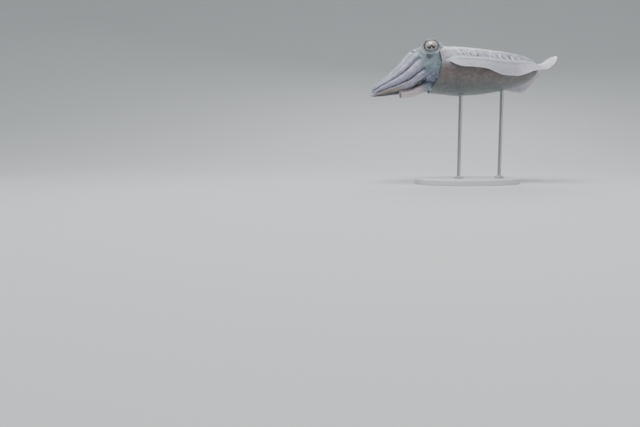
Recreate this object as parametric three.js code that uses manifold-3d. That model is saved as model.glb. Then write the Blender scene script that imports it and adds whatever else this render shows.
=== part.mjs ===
// A common cuttlefish, life size, swimming with its arms held together, on a plain display stand.
// Millimetres. In the animal's own frame +X runs to the tail, -Y is its left side and +Z its back.
import * as THREE from "three";
import { LoftGeometry } from "three/addons/geometries/LoftGeometry.js";
import { mergeVertices } from "three/addons/utils/BufferGeometryUtils.js";
import Module from "manifold-3d";

// Driving dimensions of the body
const MANTLE_LENGTH = 230;
const MANTLE_HALF_WIDTH = 61;
const BACK_RISE = 45;
const BELLY_DROP = 53;
const HEAD_HALF_WIDTH = 50;
const HEAD_HALF_HEIGHT = 41;
const EYE_RADIUS = 15.5;
const ARM_LENGTH = 124;
const FIN_WIDTH = 34;
const GAP = 0.3;

// How it is held: the height of the body's axis, and the bank that raises its left side
const AXIS_HEIGHT = 245;
const BANK = THREE.MathUtils.degToRad(21);

const SIDES = { left: -1, right: 1 };
const { lerp, smoothstep, degToRad } = THREE.MathUtils;

// Solids and meshes
const wasm = await Module();
wasm.setup();

function solidOf(geometry) {
  const bare = new THREE.BufferGeometry().copy(geometry);
  for (const name of Object.keys(bare.attributes)) {
    if (name !== "position") bare.deleteAttribute(name);
  }
  const merged = mergeVertices(bare, 1e-4);
  return new wasm.Manifold(
    new wasm.Mesh({
      numProp: 3,
      vertProperties: new Float32Array(merged.attributes.position.array),
      triVerts: new Uint32Array(merged.index.array),
    }),
  );
}

function geometryOf(solid) {
  const mesh = solid.getMesh();
  return new THREE.BufferGeometry()
    .setAttribute("position", new THREE.BufferAttribute(mesh.vertProperties, 3))
    .setIndex(new THREE.BufferAttribute(mesh.triVerts, 1));
}

function largestOf(solid) {
  return solid.decompose().reduce((a, b) => (a.volume() > b.volume() ? a : b));
}

function meshOf(name, solid, material) {
  const mesh = new THREE.Mesh(geometryOf(largestOf(solid)), material);
  mesh.name = name;
  return mesh;
}

// A closed loft whose sections are turned, where needed, so that its faces point outwards
function loft(sections) {
  const [first, second] = sections;
  const area = new THREE.Vector3();
  const ahead = new THREE.Vector3();
  first.forEach((point, i) => {
    area.add(point.clone().cross(first[(i + 1) % first.length]));
    ahead.add(second[i]).sub(point);
  });
  const outward = area.dot(ahead) > 0 ? sections : sections.map((points) => [...points].reverse());
  return solidOf(new LoftGeometry(outward, { capStart: true, capEnd: true }));
}

// A unit rounded square or circle at an angle: power 2 is a circle, and more is squarer
function rounded(angle, power) {
  const squash = (x) => Math.sign(x) * Math.abs(x) ** (2 / power);
  return new THREE.Vector2(squash(Math.cos(angle)), squash(Math.sin(angle)));
}

function ring(count, place) {
  return Array.from({ length: count }, (_, i) => place((i / count) * 2 * Math.PI));
}

function bell(distance, width) {
  return Math.exp(-((distance / width) ** 2));
}

// A value that eases from knot to knot, where each knot is a place and its value
function eased(knots, place) {
  const next = knots.findIndex(([at]) => at >= place);
  if (next <= 0) return knots.at(next)[1];
  const [[from, start], [to, end]] = knots.slice(next - 1, next + 1);
  return lerp(start, end, smoothstep(place, from, to));
}

// Mantle: a deep oval loft, blunt at the tail, whose front margin has a lobe over the head
const MANTLE_SIDES = 32;
const MANTLE_STATIONS = 24;
const MANTLE_END = 0.9994;
const STATION_CROWDING = 1.6;
const MANTLE_SQUARENESS = 2.25;
const MANTLE_TAPER = { onset: 1.8, bluntness: 0.4 };
// How much shallower and narrower the front is, and the share of the length where that ends
const CHEST = { depth: 0.85, end: 0.3 };
const FLANK = { width: 0.95, end: 0.25 };
const TAIL_LIFT = 4;
const TAIL_LIFT_START = 0.5;
// How far each stretch of the front margin reaches forward, in millimetres, and its spread in degrees
const MARGIN = {
  lateral: -5,
  backLobe: { reach: -10, spread: 38 },
  corner: { reach: -3, spread: 26, place: 32 },
  throat: { reach: -9, spread: 28 },
};
const MARGIN_FADE = 4;
const RIM_INSET = 0.9;
const OPENING_FRONT = -60;
const OPENING_DEPTH = 20;
const OPENING_FLARE = 0.95;
const OPENING_FLOOR = 0.87;

function mantleTaper(t) {
  return (1 - t ** MANTLE_TAPER.onset) ** MANTLE_TAPER.bluntness;
}

function frontMargin(angle) {
  const up = Math.sin(angle);
  const backAngle = Math.abs(Math.atan2(Math.cos(angle), up));
  const bellyAngle = Math.PI - backAngle;
  const { lateral, backLobe, corner, throat } = MARGIN;
  return (
    lateral +
    backLobe.reach * bell(backAngle, degToRad(backLobe.spread)) +
    corner.reach * bell(bellyAngle - degToRad(corner.place), degToRad(corner.spread)) +
    throat.reach * bell(bellyAngle, degToRad(throat.spread))
  );
}

function mantlePoint(t, angle, grow = 0) {
  const taper = mantleTaper(t);
  const unit = rounded(angle, MANTLE_SQUARENESS);
  const chest = lerp(CHEST.depth, 1, smoothstep(t, 0, CHEST.end));
  const flank = lerp(FLANK.width, 1, smoothstep(t, 0, FLANK.end));
  const depth = unit.y > 0 ? BACK_RISE : BELLY_DROP * chest;
  const x = lerp(-grow, MANTLE_LENGTH + grow, t) + frontMargin(angle) * (1 - t) ** MARGIN_FADE;
  const y = unit.x * (MANTLE_HALF_WIDTH * flank * taper + grow);
  const z = unit.y * (depth * taper + grow) + TAIL_LIFT * smoothstep(t, TAIL_LIFT_START, 1);
  return new THREE.Vector3(x, y, z);
}

function mantleSolid(grow) {
  const sections = Array.from({ length: MANTLE_STATIONS + 1 }, (_, i) => {
    const t = MANTLE_END * (1 - (1 - i / MANTLE_STATIONS) ** STATION_CROWDING);
    return ring(MANTLE_SIDES, (angle) => mantlePoint(t, angle, grow));
  });
  const inset = new THREE.Vector3(1, RIM_INSET, RIM_INSET);
  const inside = sections[0].map((point) => point.clone().multiply(inset));
  return loft([inside, ...sections]);
}

// The opening round the neck, from outside the margin to its floor
function openingSolid(shrink) {
  const section = (x, share) =>
    ring(MANTLE_SIDES, (angle) => {
      const rim = mantlePoint(0, angle, -shrink / share);
      return new THREE.Vector3(x, rim.y * share, rim.z * share);
    });
  return loft([
    section(OPENING_FRONT, OPENING_FLARE),
    section(0, OPENING_FLARE),
    section(OPENING_DEPTH - shrink, OPENING_FLOOR),
  ]);
}

function mantleWall(grow) {
  return mantleSolid(grow).subtract(openingSolid(grow));
}

// Fins: a thin skirt along each flank that hangs in a wave and fans out past the tail
const FIN_STATIONS = 32;
const FIN_ACROSS = 3;
const FIN_CROWDING = 1.4;
const FIN_ROOT_SAMPLES = 400;
const FIN_START = 0.055;
const FIN_ROOT_ANGLE = degToRad(1);
const FIN_ROOT_THICKNESS = 6.5;
const FIN_EDGE_THICKNESS = 1.2;
const FIN_THINNING = 0.7;
const FIN_SINK = 4;
// The width's changes along the root, as shares of it: the rounded front, the slow growth to
// full width, the lobe beside the tail and the narrowing where the two fins part
const FIN_FRONT_END = 0.14;
const FIN_GROWTH = { width: 0.75, start: 0.2, end: 0.5 };
const FIN_LOBE = { gain: 0.32, start: 0.74, end: 0.96 };
const FIN_NOTCH = { width: 0.55, start: 0.93, sharpness: 1.5 };
// The share of its droop that the fin has at its root and at its edge
const FIN_CURL = { root: 0.75, edge: 1.12 };

function finRoot(t) {
  return mantlePoint(t, FIN_ROOT_ANGLE);
}

// The share of the way to the tail tip, measured along the root
function finStations() {
  const fine = Array.from({ length: FIN_ROOT_SAMPLES + 1 }, (_, i) =>
    lerp(FIN_START, MANTLE_END, i / FIN_ROOT_SAMPLES),
  );
  const run = [0];
  for (let i = 1; i < fine.length; i++) {
    run.push(run[i - 1] + finRoot(fine[i]).distanceTo(finRoot(fine[i - 1])));
  }
  const total = run.at(-1);
  return Array.from({ length: FIN_STATIONS + 1 }, (_, i) => {
    const s = 1 - (1 - i / FIN_STATIONS) ** FIN_CROWDING;
    const wanted = total * s;
    const at = Math.max(1, run.findIndex((r) => r >= wanted - 1e-9));
    const share = (wanted - run[at - 1]) / (run[at] - run[at - 1]);
    return { t: lerp(fine[at - 1], fine[at], share), s };
  });
}

function finWidth(s) {
  const front = Math.sqrt(smoothstep(s, -0.01, FIN_FRONT_END));
  const body = lerp(FIN_GROWTH.width, 1, smoothstep(s, FIN_GROWTH.start, FIN_GROWTH.end));
  const lobe = FIN_LOBE.gain * smoothstep(s, FIN_LOBE.start, FIN_LOBE.end);
  const notch = smoothstep(s, FIN_NOTCH.start, 1) ** FIN_NOTCH.sharpness;
  return FIN_WIDTH * front * (body + lobe) * lerp(1, FIN_NOTCH.width, notch);
}

// How far below level each fin's edge hangs, in degrees, negative where the tail lobe lifts
const FIN_DROOP = {
  left: [
    [0.3, 68],
    [0.52, 86],
    [0.62, 86],
    [0.84, 44],
    [1, -40],
  ],
  right: [
    [0.15, 30],
    [0.42, 4],
    [0.62, 6],
    [0.82, 46],
    [1, -28],
  ],
};

function finRows(name) {
  const side = SIDES[name];
  return finStations().map(({ t, s }) => {
    const root = finRoot(t);
    const behind = finRoot(Math.min(MANTLE_END, t + 0.002));
    const before = finRoot(Math.max(FIN_START, t - 0.002));
    const along = behind.sub(before).setZ(0).normalize();
    const out = new THREE.Vector3(-along.y, along.x, 0);
    const droop = degToRad(eased(FIN_DROOP[name], s));
    const width = finWidth(s);
    const top = [];
    const bottom = [];
    const at = root.clone().addScaledVector(out, -FIN_SINK);
    for (let j = 0; j <= FIN_ACROSS; j++) {
      const q = j / FIN_ACROSS;
      const tilt = droop * lerp(FIN_CURL.root, FIN_CURL.edge, q);
      const step = out.clone().multiplyScalar(Math.cos(tilt));
      step.z -= Math.sin(tilt);
      const normal = out.clone().multiplyScalar(Math.sin(tilt));
      normal.z += Math.cos(tilt);
      const half = lerp(FIN_ROOT_THICKNESS, FIN_EDGE_THICKNESS, q ** FIN_THINNING) / 2;
      top.push(at.clone().addScaledVector(normal, half));
      bottom.push(at.clone().addScaledVector(normal, -half));
      at.addScaledVector(step, (width + FIN_SINK) / FIN_ACROSS);
    }
    const mirror = (p) => p.setY(p.y * side);
    return { top: top.map(mirror), bottom: bottom.map(mirror) };
  });
}

// A closed thin sheet whose two faces are split into triangles alike
function sheetSolid(rows, flip) {
  const across = rows[0].top.length;
  const points = rows.flatMap((row) => [...row.top, ...row.bottom]);
  const top = (i, j) => i * 2 * across + j;
  const bottom = (i, j) => top(i, j) + across;
  const faces = [];
  const quad = (a, b, c, d) => faces.push([a, b, c], [a, c, d]);
  const last = rows.length - 1;
  for (let i = 0; i < last; i++) {
    for (let j = 0; j < across - 1; j++) {
      quad(top(i, j), top(i + 1, j), top(i + 1, j + 1), top(i, j + 1));
      const [a, b] = [bottom(i, j), bottom(i + 1, j)];
      const [c, d] = [bottom(i + 1, j + 1), bottom(i, j + 1)];
      faces.push([a, c, b], [a, d, c]);
    }
    quad(top(i + 1, 0), top(i, 0), bottom(i, 0), bottom(i + 1, 0));
    const edge = across - 1;
    quad(top(i, edge), top(i + 1, edge), bottom(i + 1, edge), bottom(i, edge));
  }
  for (let j = 0; j < across - 1; j++) {
    quad(top(0, j), top(0, j + 1), bottom(0, j + 1), bottom(0, j));
    quad(top(last, j + 1), top(last, j), bottom(last, j), bottom(last, j + 1));
  }
  const wound = flip ? faces.map(([a, b, c]) => [a, c, b]) : faces;
  const geometry = new THREE.BufferGeometry().setFromPoints(points);
  return solidOf(geometry.setIndex(wound.flat()));
}

// Head: neck, cheeks and brow in one loft that ends in the sloping crown the arms grow from
const HEAD_SIDES = 30;
const HEAD_STATIONS = 16;
const HEAD_SQUARENESS = 2.3;
const NECK_X = OPENING_DEPTH - GAP;
const NECK = { size: 0.86, end: 0.45 };
const CROWN = new THREE.Vector3(-43, 0, 3);
const CROWN_TILT = degToRad(24);
const CROWN_HALF_WIDTH = 42;
const CROWN_HALF_HEIGHT = 38;
// Where along the head its size turns to the crown's, and where it starts to tilt
const CROWN_START = 0.5;
const TILT_START = 0.25;
const HEAD_PATH = new THREE.CubicBezierCurve3(
  new THREE.Vector3(NECK_X, 0, -2),
  new THREE.Vector3(0, 0, -2),
  new THREE.Vector3(-22, 0, 7),
  CROWN,
);

// Eyes and the brows that carry them
const EYE_CENTRE = new THREE.Vector3(-20.5, 45, 29.5);
const EYE_LIFT = degToRad(11);
const EYE_FORWARD = 0.12;
const EYE_OPENING = { along: degToRad(58), across: degToRad(46) };
const HOLLOW = { depth: 0.55, place: 0.95 };
const BROW_LIFT = degToRad(32);
const BROW_THICKNESS = 2.4;
// The swelling round each eye, its reach from the eye's centre, and where it fades out:
// in front of the crown, as a share of the head's length, and behind the margin, in millimetres
const BROW = { swelling: 15, inner: 6, outer: 36, crownFade: 0.15, rearFade: [-3, 9] };

function headSize(u) {
  const neck = lerp(NECK.size, 1, smoothstep(u, 0, NECK.end));
  const crown = smoothstep(u, CROWN_START, 1);
  return new THREE.Vector2(
    lerp(HEAD_HALF_WIDTH * neck, CROWN_HALF_WIDTH, crown),
    lerp(HEAD_HALF_HEIGHT * neck, CROWN_HALF_HEIGHT, crown),
  );
}

function eyeNormal(side) {
  const across = side * Math.cos(EYE_LIFT);
  return new THREE.Vector3(-EYE_FORWARD, across, Math.sin(EYE_LIFT)).normalize();
}

function browNormal(side) {
  return new THREE.Vector3(0, side * Math.cos(BROW_LIFT), Math.sin(BROW_LIFT));
}

function eyeCentre(side) {
  return EYE_CENTRE.clone().setY(EYE_CENTRE.y * side);
}

function headPoint(u, angle) {
  const centre = HEAD_PATH.getPoint(u);
  const size = headSize(u);
  const tilt = CROWN_TILT * smoothstep(u, TILT_START, 1);
  const unit = rounded(angle, HEAD_SQUARENESS);
  const up = unit.y * size.y;
  const point = new THREE.Vector3(
    centre.x - Math.sin(tilt) * up,
    unit.x * size.x,
    centre.z + Math.cos(tilt) * up,
  );
  const fade = smoothstep(1 - u, 0, BROW.crownFade) * smoothstep(-point.x, ...BROW.rearFade);
  for (const side of Object.values(SIDES)) {
    const orbit = point.distanceTo(eyeCentre(side));
    const swelling = BROW.swelling * (1 - smoothstep(orbit, BROW.inner, BROW.outer));
    point.addScaledVector(browNormal(side), swelling * fade);
  }
  return point;
}

function headLoft() {
  const sections = Array.from({ length: HEAD_STATIONS + 1 }, (_, i) =>
    ring(HEAD_SIDES, (angle) => headPoint(i / HEAD_STATIONS, angle)),
  );
  return loft(sections);
}

const EYE_SIDES = 16;
const BROW_SIDES = 12;
const HOLLOW_SIDES = 14;

// The eye's own axes: forward and upward along the head's surface, and out of the eye
function eyeAxes(side) {
  const outward = eyeNormal(side);
  const forward = new THREE.Vector3(-1, 0, 0).projectOnPlane(outward).normalize();
  const upward = new THREE.Vector3(0, 0, 1).projectOnPlane(outward).normalize();
  return { forward, upward, outward };
}

function eyeSolid(side, grow, sides = EYE_SIDES) {
  const ball = new THREE.SphereGeometry(EYE_RADIUS + grow, sides, sides / 2 + 1);
  return solidOf(ball.translate(...eyeCentre(side).toArray()));
}

// The oval hollow in front of the eye that bares it between the lids
function eyeHollow(side) {
  const { forward, upward, outward } = eyeAxes(side);
  const hollow = new THREE.SphereGeometry(1, HOLLOW_SIDES, HOLLOW_SIDES / 2);
  hollow.scale(
    EYE_RADIUS * Math.sin(EYE_OPENING.along),
    EYE_RADIUS * Math.sin(EYE_OPENING.across),
    EYE_RADIUS * HOLLOW.depth,
  );
  hollow.applyMatrix4(new THREE.Matrix4().makeBasis(forward, upward, outward));
  if (side < 0) hollow.index.array.reverse();
  const centre = eyeCentre(side).addScaledVector(outward, EYE_RADIUS * HOLLOW.place);
  return solidOf(hollow.translate(...centre.toArray()));
}

// An eyelid: a fold round part of the opening that thins out to both ends
const LID_STATIONS = 8;
const LID_SIDES = 6;
const LID_SECTION = { height: 0.75, width: 1.4 };
const LID_ENDS = { size: 0.25, thinning: 0.7 };
const UPPER_LID = { from: degToRad(-5), to: degToRad(185), thickness: 3.2 };
const LOWER_LID = { from: degToRad(190), to: degToRad(350), thickness: 2.6 };

function lidSolid(side, { from, to, thickness }) {
  const { forward, upward, outward } = eyeAxes(side);
  const sections = Array.from({ length: LID_STATIONS + 1 }, (_, i) => {
    const share = i / LID_STATIONS;
    const turn = lerp(from, to, share);
    const out = forward
      .clone()
      .multiplyScalar(Math.cos(turn))
      .addScaledVector(upward, Math.sin(turn));
    const opening = Math.hypot(
      EYE_OPENING.along * Math.cos(turn),
      EYE_OPENING.across * Math.sin(turn),
    );
    const radial = out
      .clone()
      .multiplyScalar(Math.sin(opening))
      .addScaledVector(outward, Math.cos(opening));
    const across = out
      .clone()
      .multiplyScalar(-Math.cos(opening))
      .addScaledVector(outward, Math.sin(opening));
    const fullness = Math.sin(Math.PI * share) ** LID_ENDS.thinning;
    const half = thickness * Math.max(LID_ENDS.size, fullness);
    return ring(LID_SIDES, (angle) =>
      eyeCentre(side)
        .addScaledVector(radial, EYE_RADIUS + half * LID_SECTION.height * Math.cos(angle))
        .addScaledVector(across, half * LID_SECTION.width * Math.sin(angle)),
    );
  });
  return loft(sections);
}

// Arms: eight sectors of one drooping bundle, each cut into a base and a tip
const ARM_SIDES = 8;
const ARM_STATIONS = 7;
const ARM_SPLIT = 0.48;
const ARM_AXIS_START = -0.25;
const ARM_AXIS = new THREE.CatmullRomCurve3([
  new THREE.Vector3(-15, 0, 6),
  CROWN,
  new THREE.Vector3(-74, 0, -21),
  new THREE.Vector3(-99, 0, -35),
  new THREE.Vector3(-126, 0, -47),
  new THREE.Vector3(-150, 0, -58.5),
]);
const ARM_PAIRS = [
  { pair: 1, from: 1, to: 40, rootTo: 40, start: 0, length: 0.92, inner: 0.42, outer: 1.0 },
  { pair: 2, from: 40, to: 80, rootTo: 80, start: 0, length: 0.96, inner: 0.42, outer: 1.03 },
  { pair: 3, from: 80, to: 122, rootTo: 122, start: 0, length: 1.0, inner: 0.42, outer: 1.0 },
  { pair: 4, from: 122, to: 174, rootTo: 153, start: -0.2, length: 0.98, inner: 0.46, outer: 1.06 },
];
const ARM_GAP = 0.9;
const ARM_SQUARENESS = 2.8;
const ARM_CREST = 0.05;
const ARM_ROUNDING = { start: 0.7, least: 0.02 };
const ROOT_ROUNDING = { length: 0.14, least: 0.1 };
const ROOT_SPREAD = [-0.05, 0.3];
const BUNDLE_TIP = { halfWidth: 7, halfHeight: 6.5, tilt: degToRad(34), tiltEnd: 0.6 };
const BUNDLE_NARROWING = 0.88;

function narrowing(s) {
  return Math.sign(s) * Math.abs(s) ** BUNDLE_NARROWING;
}

function bundleHalfWidth(s) {
  return lerp(CROWN_HALF_WIDTH, BUNDLE_TIP.halfWidth, narrowing(s));
}

function bundleHalfHeight(s) {
  return lerp(CROWN_HALF_HEIGHT, BUNDLE_TIP.halfHeight, narrowing(s));
}

// A point of the bundle: turn is measured from the back, and reach is 1 at its outline
function bundlePoint(s, side, turn, reach) {
  const tilt = lerp(CROWN_TILT, BUNDLE_TIP.tilt, smoothstep(s, 0, BUNDLE_TIP.tiltEnd));
  const across = bundleHalfWidth(s) * reach * Math.sin(turn) * side;
  const up = bundleHalfHeight(s) * reach * Math.cos(turn);
  const along = (s - ARM_AXIS_START) / (1 - ARM_AXIS_START);
  return ARM_AXIS.getPoint(Math.min(1, along)).add(
    new THREE.Vector3(-Math.sin(tilt) * up, across, Math.cos(tilt) * up),
  );
}

// An arm narrows to a rounded tip, and to a rounded root where it starts beneath the head
function armTaper(arm, s) {
  const end = Math.max(0, (s / arm.length - ARM_ROUNDING.start) / (1 - ARM_ROUNDING.start));
  const hidden = arm.start < 0 ? Math.max(0, 1 - (s - arm.start) / ROOT_ROUNDING.length) : 0;
  const tip = Math.sqrt(Math.max(ARM_ROUNDING.least, 1 - end ** 2));
  return tip * Math.sqrt(Math.max(ROOT_ROUNDING.least, 1 - hidden ** 2));
}

// A point of an arm's outline, where unit is that point on a rounded square from -1 to 1
function armPoint(arm, side, s, unit, grow) {
  const to = lerp(arm.rootTo, arm.to, smoothstep(s, ...ROOT_SPREAD));
  const middle = degToRad((arm.from + to) / 2);
  const spread = degToRad((to - arm.from) / 2);
  const taper = armTaper(arm, s);
  const centreReach = (arm.inner + arm.outer) / 2;
  const size = (bundleHalfWidth(s) + bundleHalfHeight(s)) / 2;
  const halfReach = ((arm.outer - arm.inner) / 2) * taper + grow / size;
  const reach = centreReach + halfReach * unit.y;
  const halfTurn = spread * taper + (grow - (ARM_GAP / 2) * taper) / (size * reach);
  const crest = ARM_CREST * Math.max(0, unit.y) * (1 - unit.x ** 2);
  return bundlePoint(s, side, middle + halfTurn * unit.x, reach + crest);
}

function armLoft(arm, side, from, to, grow = 0) {
  const sections = Array.from({ length: ARM_STATIONS + 1 }, (_, i) => {
    const s = lerp(from, to, i / ARM_STATIONS);
    const outline = (angle) => rounded(angle, ARM_SQUARENESS);
    return ring(ARM_SIDES, (angle) => armPoint(arm, side, s, outline(angle), grow));
  });
  return loft(sections);
}

// Suckers: little cups in two staggered rows along the arm's inner face, smaller to the tip
const SUCKER_STEPS = 19;
const SUCKER_SIDES = 5;
const SUCKER_ROW = 0.5;
const SUCKER_SHARE = 0.21;
const SUCKER_MIN_RADIUS = 0.55;
const SUCKER_VARIATION = 0.08;
const SUCKER_ENDS = { root: 0.045, tip: 0.965 };
const SUCKER_CLEARANCE = 0.02;
// A cup's outline from its sunk root to its hollow face, as shares of its radius
const SUCKER_PROFILE = [
  [0, -1.1],
  [0.62, -1.1],
  [0.98, 0.72],
  [0, 0.3],
];
const INNER_CORNER = new THREE.Vector2(0.8, -0.8);

function seededRandom(seed) {
  let state = seed;
  return () => {
    state = (state * 16807) % 2147483647;
    return state / 2147483647;
  };
}
const random = seededRandom(230);

function suckerSolid(arm, side, s, row) {
  const depth = (1 - Math.abs(row) ** ARM_SQUARENESS) ** (1 / ARM_SQUARENESS);
  const seat = armPoint(arm, side, s, new THREE.Vector2(row, -depth), 0);
  const otherCorner = INNER_CORNER.clone().setX(-INNER_CORNER.x);
  const corner = armPoint(arm, side, s, INNER_CORNER, 0);
  const width = corner.distanceTo(armPoint(arm, side, s, otherCorner, 0));
  const varied = 1 + SUCKER_VARIATION * (2 * random() - 1);
  const radius = Math.max(SUCKER_MIN_RADIUS, width * SUCKER_SHARE * varied);
  const profile = SUCKER_PROFILE.map(([r, h]) => new THREE.Vector2(r * radius, h * radius));
  const inward = bundlePoint(s, side, 0, 0).sub(seat).normalize();
  const turn = new THREE.Quaternion().setFromUnitVectors(new THREE.Vector3(0, 1, 0), inward);
  const cup = new THREE.LatheGeometry(profile, SUCKER_SIDES).applyQuaternion(turn);
  return solidOf(cup.translate(...seat.toArray()));
}

// One length of an arm with its own suckers, clear of the cut between the two lengths
function armSolid(arm, side, from, to) {
  let solid = armLoft(arm, side, from, to);
  for (let k = 0; k < SUCKER_STEPS; k++) {
    const s = lerp(SUCKER_ENDS.root, SUCKER_ENDS.tip * arm.length, k / (SUCKER_STEPS - 1));
    if (s < from + SUCKER_CLEARANCE || s > to - SUCKER_CLEARANCE) continue;
    const row = k % 2 === 0 ? SUCKER_ROW : -SUCKER_ROW;
    solid = solid.add(suckerSolid(arm, side, s, row));
  }
  return solid;
}

// Funnel: a tapering tube under the head that points forwards and down
const FUNNEL_STATIONS = 10;
const FUNNEL_SIDES = 16;
const FUNNEL_PATH = new THREE.CatmullRomCurve3([
  new THREE.Vector3(NECK_X, 0, -17),
  new THREE.Vector3(-12, 0, -32),
  new THREE.Vector3(-38, 0, -46),
  new THREE.Vector3(-62, 0, -54.5),
  new THREE.Vector3(-83, 0, -57.5),
]);
const FUNNEL_RADIUS = { root: 16, mouth: 8.5 };
const FUNNEL_NARROWING = 0.8;
const FUNNEL_FLATNESS = 0.85;
const FUNNEL_BORE = { radius: 5.5, innerRadius: 3.85, depth: 0.14, beyond: 3 };

function funnelSection(share, width) {
  const centre = FUNNEL_PATH.getPoint(share);
  const ahead = FUNNEL_PATH.getTangent(share);
  const up = new THREE.Vector3(-ahead.z, 0, ahead.x);
  return ring(FUNNEL_SIDES, (angle) =>
    centre
      .clone()
      .addScaledVector(up, Math.sin(angle) * width * FUNNEL_FLATNESS)
      .add(new THREE.Vector3(0, Math.cos(angle) * width, 0)),
  );
}

function funnelSolid(grow) {
  const sections = Array.from({ length: FUNNEL_STATIONS + 1 }, (_, i) => {
    const share = i / FUNNEL_STATIONS;
    const width = lerp(FUNNEL_RADIUS.root, FUNNEL_RADIUS.mouth, share ** FUNNEL_NARROWING);
    return funnelSection(share, width + grow);
  });
  return loft(sections);
}

// The open mouth of the funnel
function funnelBore() {
  const inner = funnelSection(1 - FUNNEL_BORE.depth, FUNNEL_BORE.innerRadius);
  const rim = funnelSection(1, FUNNEL_BORE.radius);
  const ahead = FUNNEL_PATH.getTangent(1).multiplyScalar(FUNNEL_BORE.beyond);
  return loft([inner, rim, rim.map((point) => point.clone().add(ahead))]);
}

// Stand: a flat oval base and two round rods with a foot each, sunk into the belly
const BASE = { length: 236, width: 150, thickness: 12, bevel: 1.5 };
const BASE_SEGMENTS = 24;
const ROD_RADIUS = 4;
const ROD_SIDES = 20;
const ROD_FOOT = { radius: 10, height: 4 };
const ROD_PLACES = { front: { x: 58, top: 214 }, rear: { x: 152, top: 218 } };
const BASE_CENTRE_X = 78;

function baseSolid() {
  const outline = new THREE.Shape().absellipse(
    0,
    0,
    BASE.length / 2 - BASE.bevel,
    BASE.width / 2 - BASE.bevel,
    0,
    2 * Math.PI,
  );
  const geometry = new THREE.ExtrudeGeometry(outline, {
    depth: BASE.thickness - 2 * BASE.bevel,
    bevelThickness: BASE.bevel,
    bevelSize: BASE.bevel,
    bevelSegments: 1,
    curveSegments: BASE_SEGMENTS,
  });
  return solidOf(geometry.translate(0, 0, BASE.bevel));
}

function rodSolid(place, grow) {
  const foot = BASE.thickness + GAP - grow;
  const radius = ROD_RADIUS + grow;
  const profile = [
    [0, foot],
    [ROD_FOOT.radius, foot],
    [ROD_FOOT.radius, foot + ROD_FOOT.height],
    [radius, foot + ROD_FOOT.height],
    [radius, place.top + grow],
    [0, place.top + grow],
  ].map(([r, z]) => new THREE.Vector2(r, z));
  const geometry = new THREE.LatheGeometry(profile, ROD_SIDES).rotateX(Math.PI / 2);
  return solidOf(geometry.translate(place.x - BASE_CENTRE_X, 0, 0));
}

// Finishes
function finish(color, roughness, metalness = 0) {
  return new THREE.MeshStandardMaterial({ color, roughness, metalness });
}
const SKIN = finish(0xb9cdd2, 0.45);
const BELLY = finish(0x9fb4b8, 0.45);
const FIN_SKIN = finish(0xcfdde0, 0.4);
const EYE = finish(0x1d2a30, 0.15);
const PLATE = finish(0xd9dcdd, 0.5);
const STEEL = finish(0xb4b8ba, 0.3, 1);

// Assembly: the animal banks on the stand, whose base is centred on the origin
const animal = new THREE.Group();
animal.position.set(-BASE_CENTRE_X, 0, AXIS_HEIGHT);
animal.rotation.x = -BANK;
animal.updateMatrix();

function inAnimalFrame(geometry) {
  return geometry.applyMatrix4(animal.matrix.clone().invert());
}

const sockets = Object.values(ROD_PLACES).map((place) =>
  solidOf(inAnimalFrame(geometryOf(rodSolid(place, GAP)))),
);
const mantle = sockets.reduce((solid, socket) => solid.subtract(socket), mantleWall(0));
animal.add(meshOf("mantle", mantle, BELLY));

const wall = mantleWall(GAP);
let head = headLoft().subtract(wall).subtract(funnelSolid(GAP));
for (const [name, side] of Object.entries(SIDES)) {
  const fin = sheetSolid(finRows(name), side < 0).subtract(mantleSolid(GAP));
  animal.add(meshOf("fin_" + name, fin, FIN_SKIN));
  const lids = lidSolid(side, UPPER_LID).add(lidSolid(side, LOWER_LID)).subtract(wall);
  const brow = eyeSolid(side, BROW_THICKNESS, BROW_SIDES).subtract(wall);
  head = head.add(brow).subtract(eyeHollow(side)).add(lids).subtract(eyeSolid(side, GAP));
  animal.add(meshOf("eye_" + name, eyeSolid(side, 0).subtract(wall), EYE));
  for (const arm of ARM_PAIRS) {
    const label = "arm_" + arm.pair + "_" + name;
    const start = arm.start + GAP / ARM_LENGTH;
    const cut = GAP / 2 / ARM_LENGTH;
    const base = armSolid(arm, side, start, ARM_SPLIT - cut).subtract(funnelSolid(GAP));
    const tip = armSolid(arm, side, ARM_SPLIT + cut, arm.length);
    if (arm.start < 0) head = head.subtract(armLoft(arm, side, arm.start, ARM_SPLIT, GAP));
    animal.add(meshOf(label + "_base", base, SKIN));
    animal.add(meshOf(label + "_tip", tip, SKIN));
  }
}
animal.add(meshOf("head", head, SKIN));
animal.add(meshOf("funnel", funnelSolid(0).subtract(wall).subtract(funnelBore()), FIN_SKIN));

const model = new THREE.Group();
model.add(animal);
model.add(meshOf("stand_base", baseSolid(), PLATE));
for (const [name, place] of Object.entries(ROD_PLACES)) {
  model.add(meshOf("stand_rod_" + name, rodSolid(place, 0), STEEL));
}

export default model;
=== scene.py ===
import itertools
import math

import bmesh
import bpy
import numpy as np
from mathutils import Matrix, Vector, kdtree, noise


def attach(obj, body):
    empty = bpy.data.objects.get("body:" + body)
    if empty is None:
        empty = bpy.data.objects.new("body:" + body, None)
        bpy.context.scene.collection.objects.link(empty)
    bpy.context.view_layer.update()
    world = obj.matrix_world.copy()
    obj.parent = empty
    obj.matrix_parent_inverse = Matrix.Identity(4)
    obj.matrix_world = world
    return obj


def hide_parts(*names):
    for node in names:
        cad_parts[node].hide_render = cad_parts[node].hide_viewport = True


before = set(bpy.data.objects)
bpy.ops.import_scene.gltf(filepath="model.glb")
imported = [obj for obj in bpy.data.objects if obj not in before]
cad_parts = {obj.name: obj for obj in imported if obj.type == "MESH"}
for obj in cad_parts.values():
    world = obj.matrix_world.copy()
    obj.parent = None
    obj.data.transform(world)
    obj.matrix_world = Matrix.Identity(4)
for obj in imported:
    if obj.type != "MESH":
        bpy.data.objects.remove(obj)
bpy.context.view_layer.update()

MM = 0.001

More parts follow.
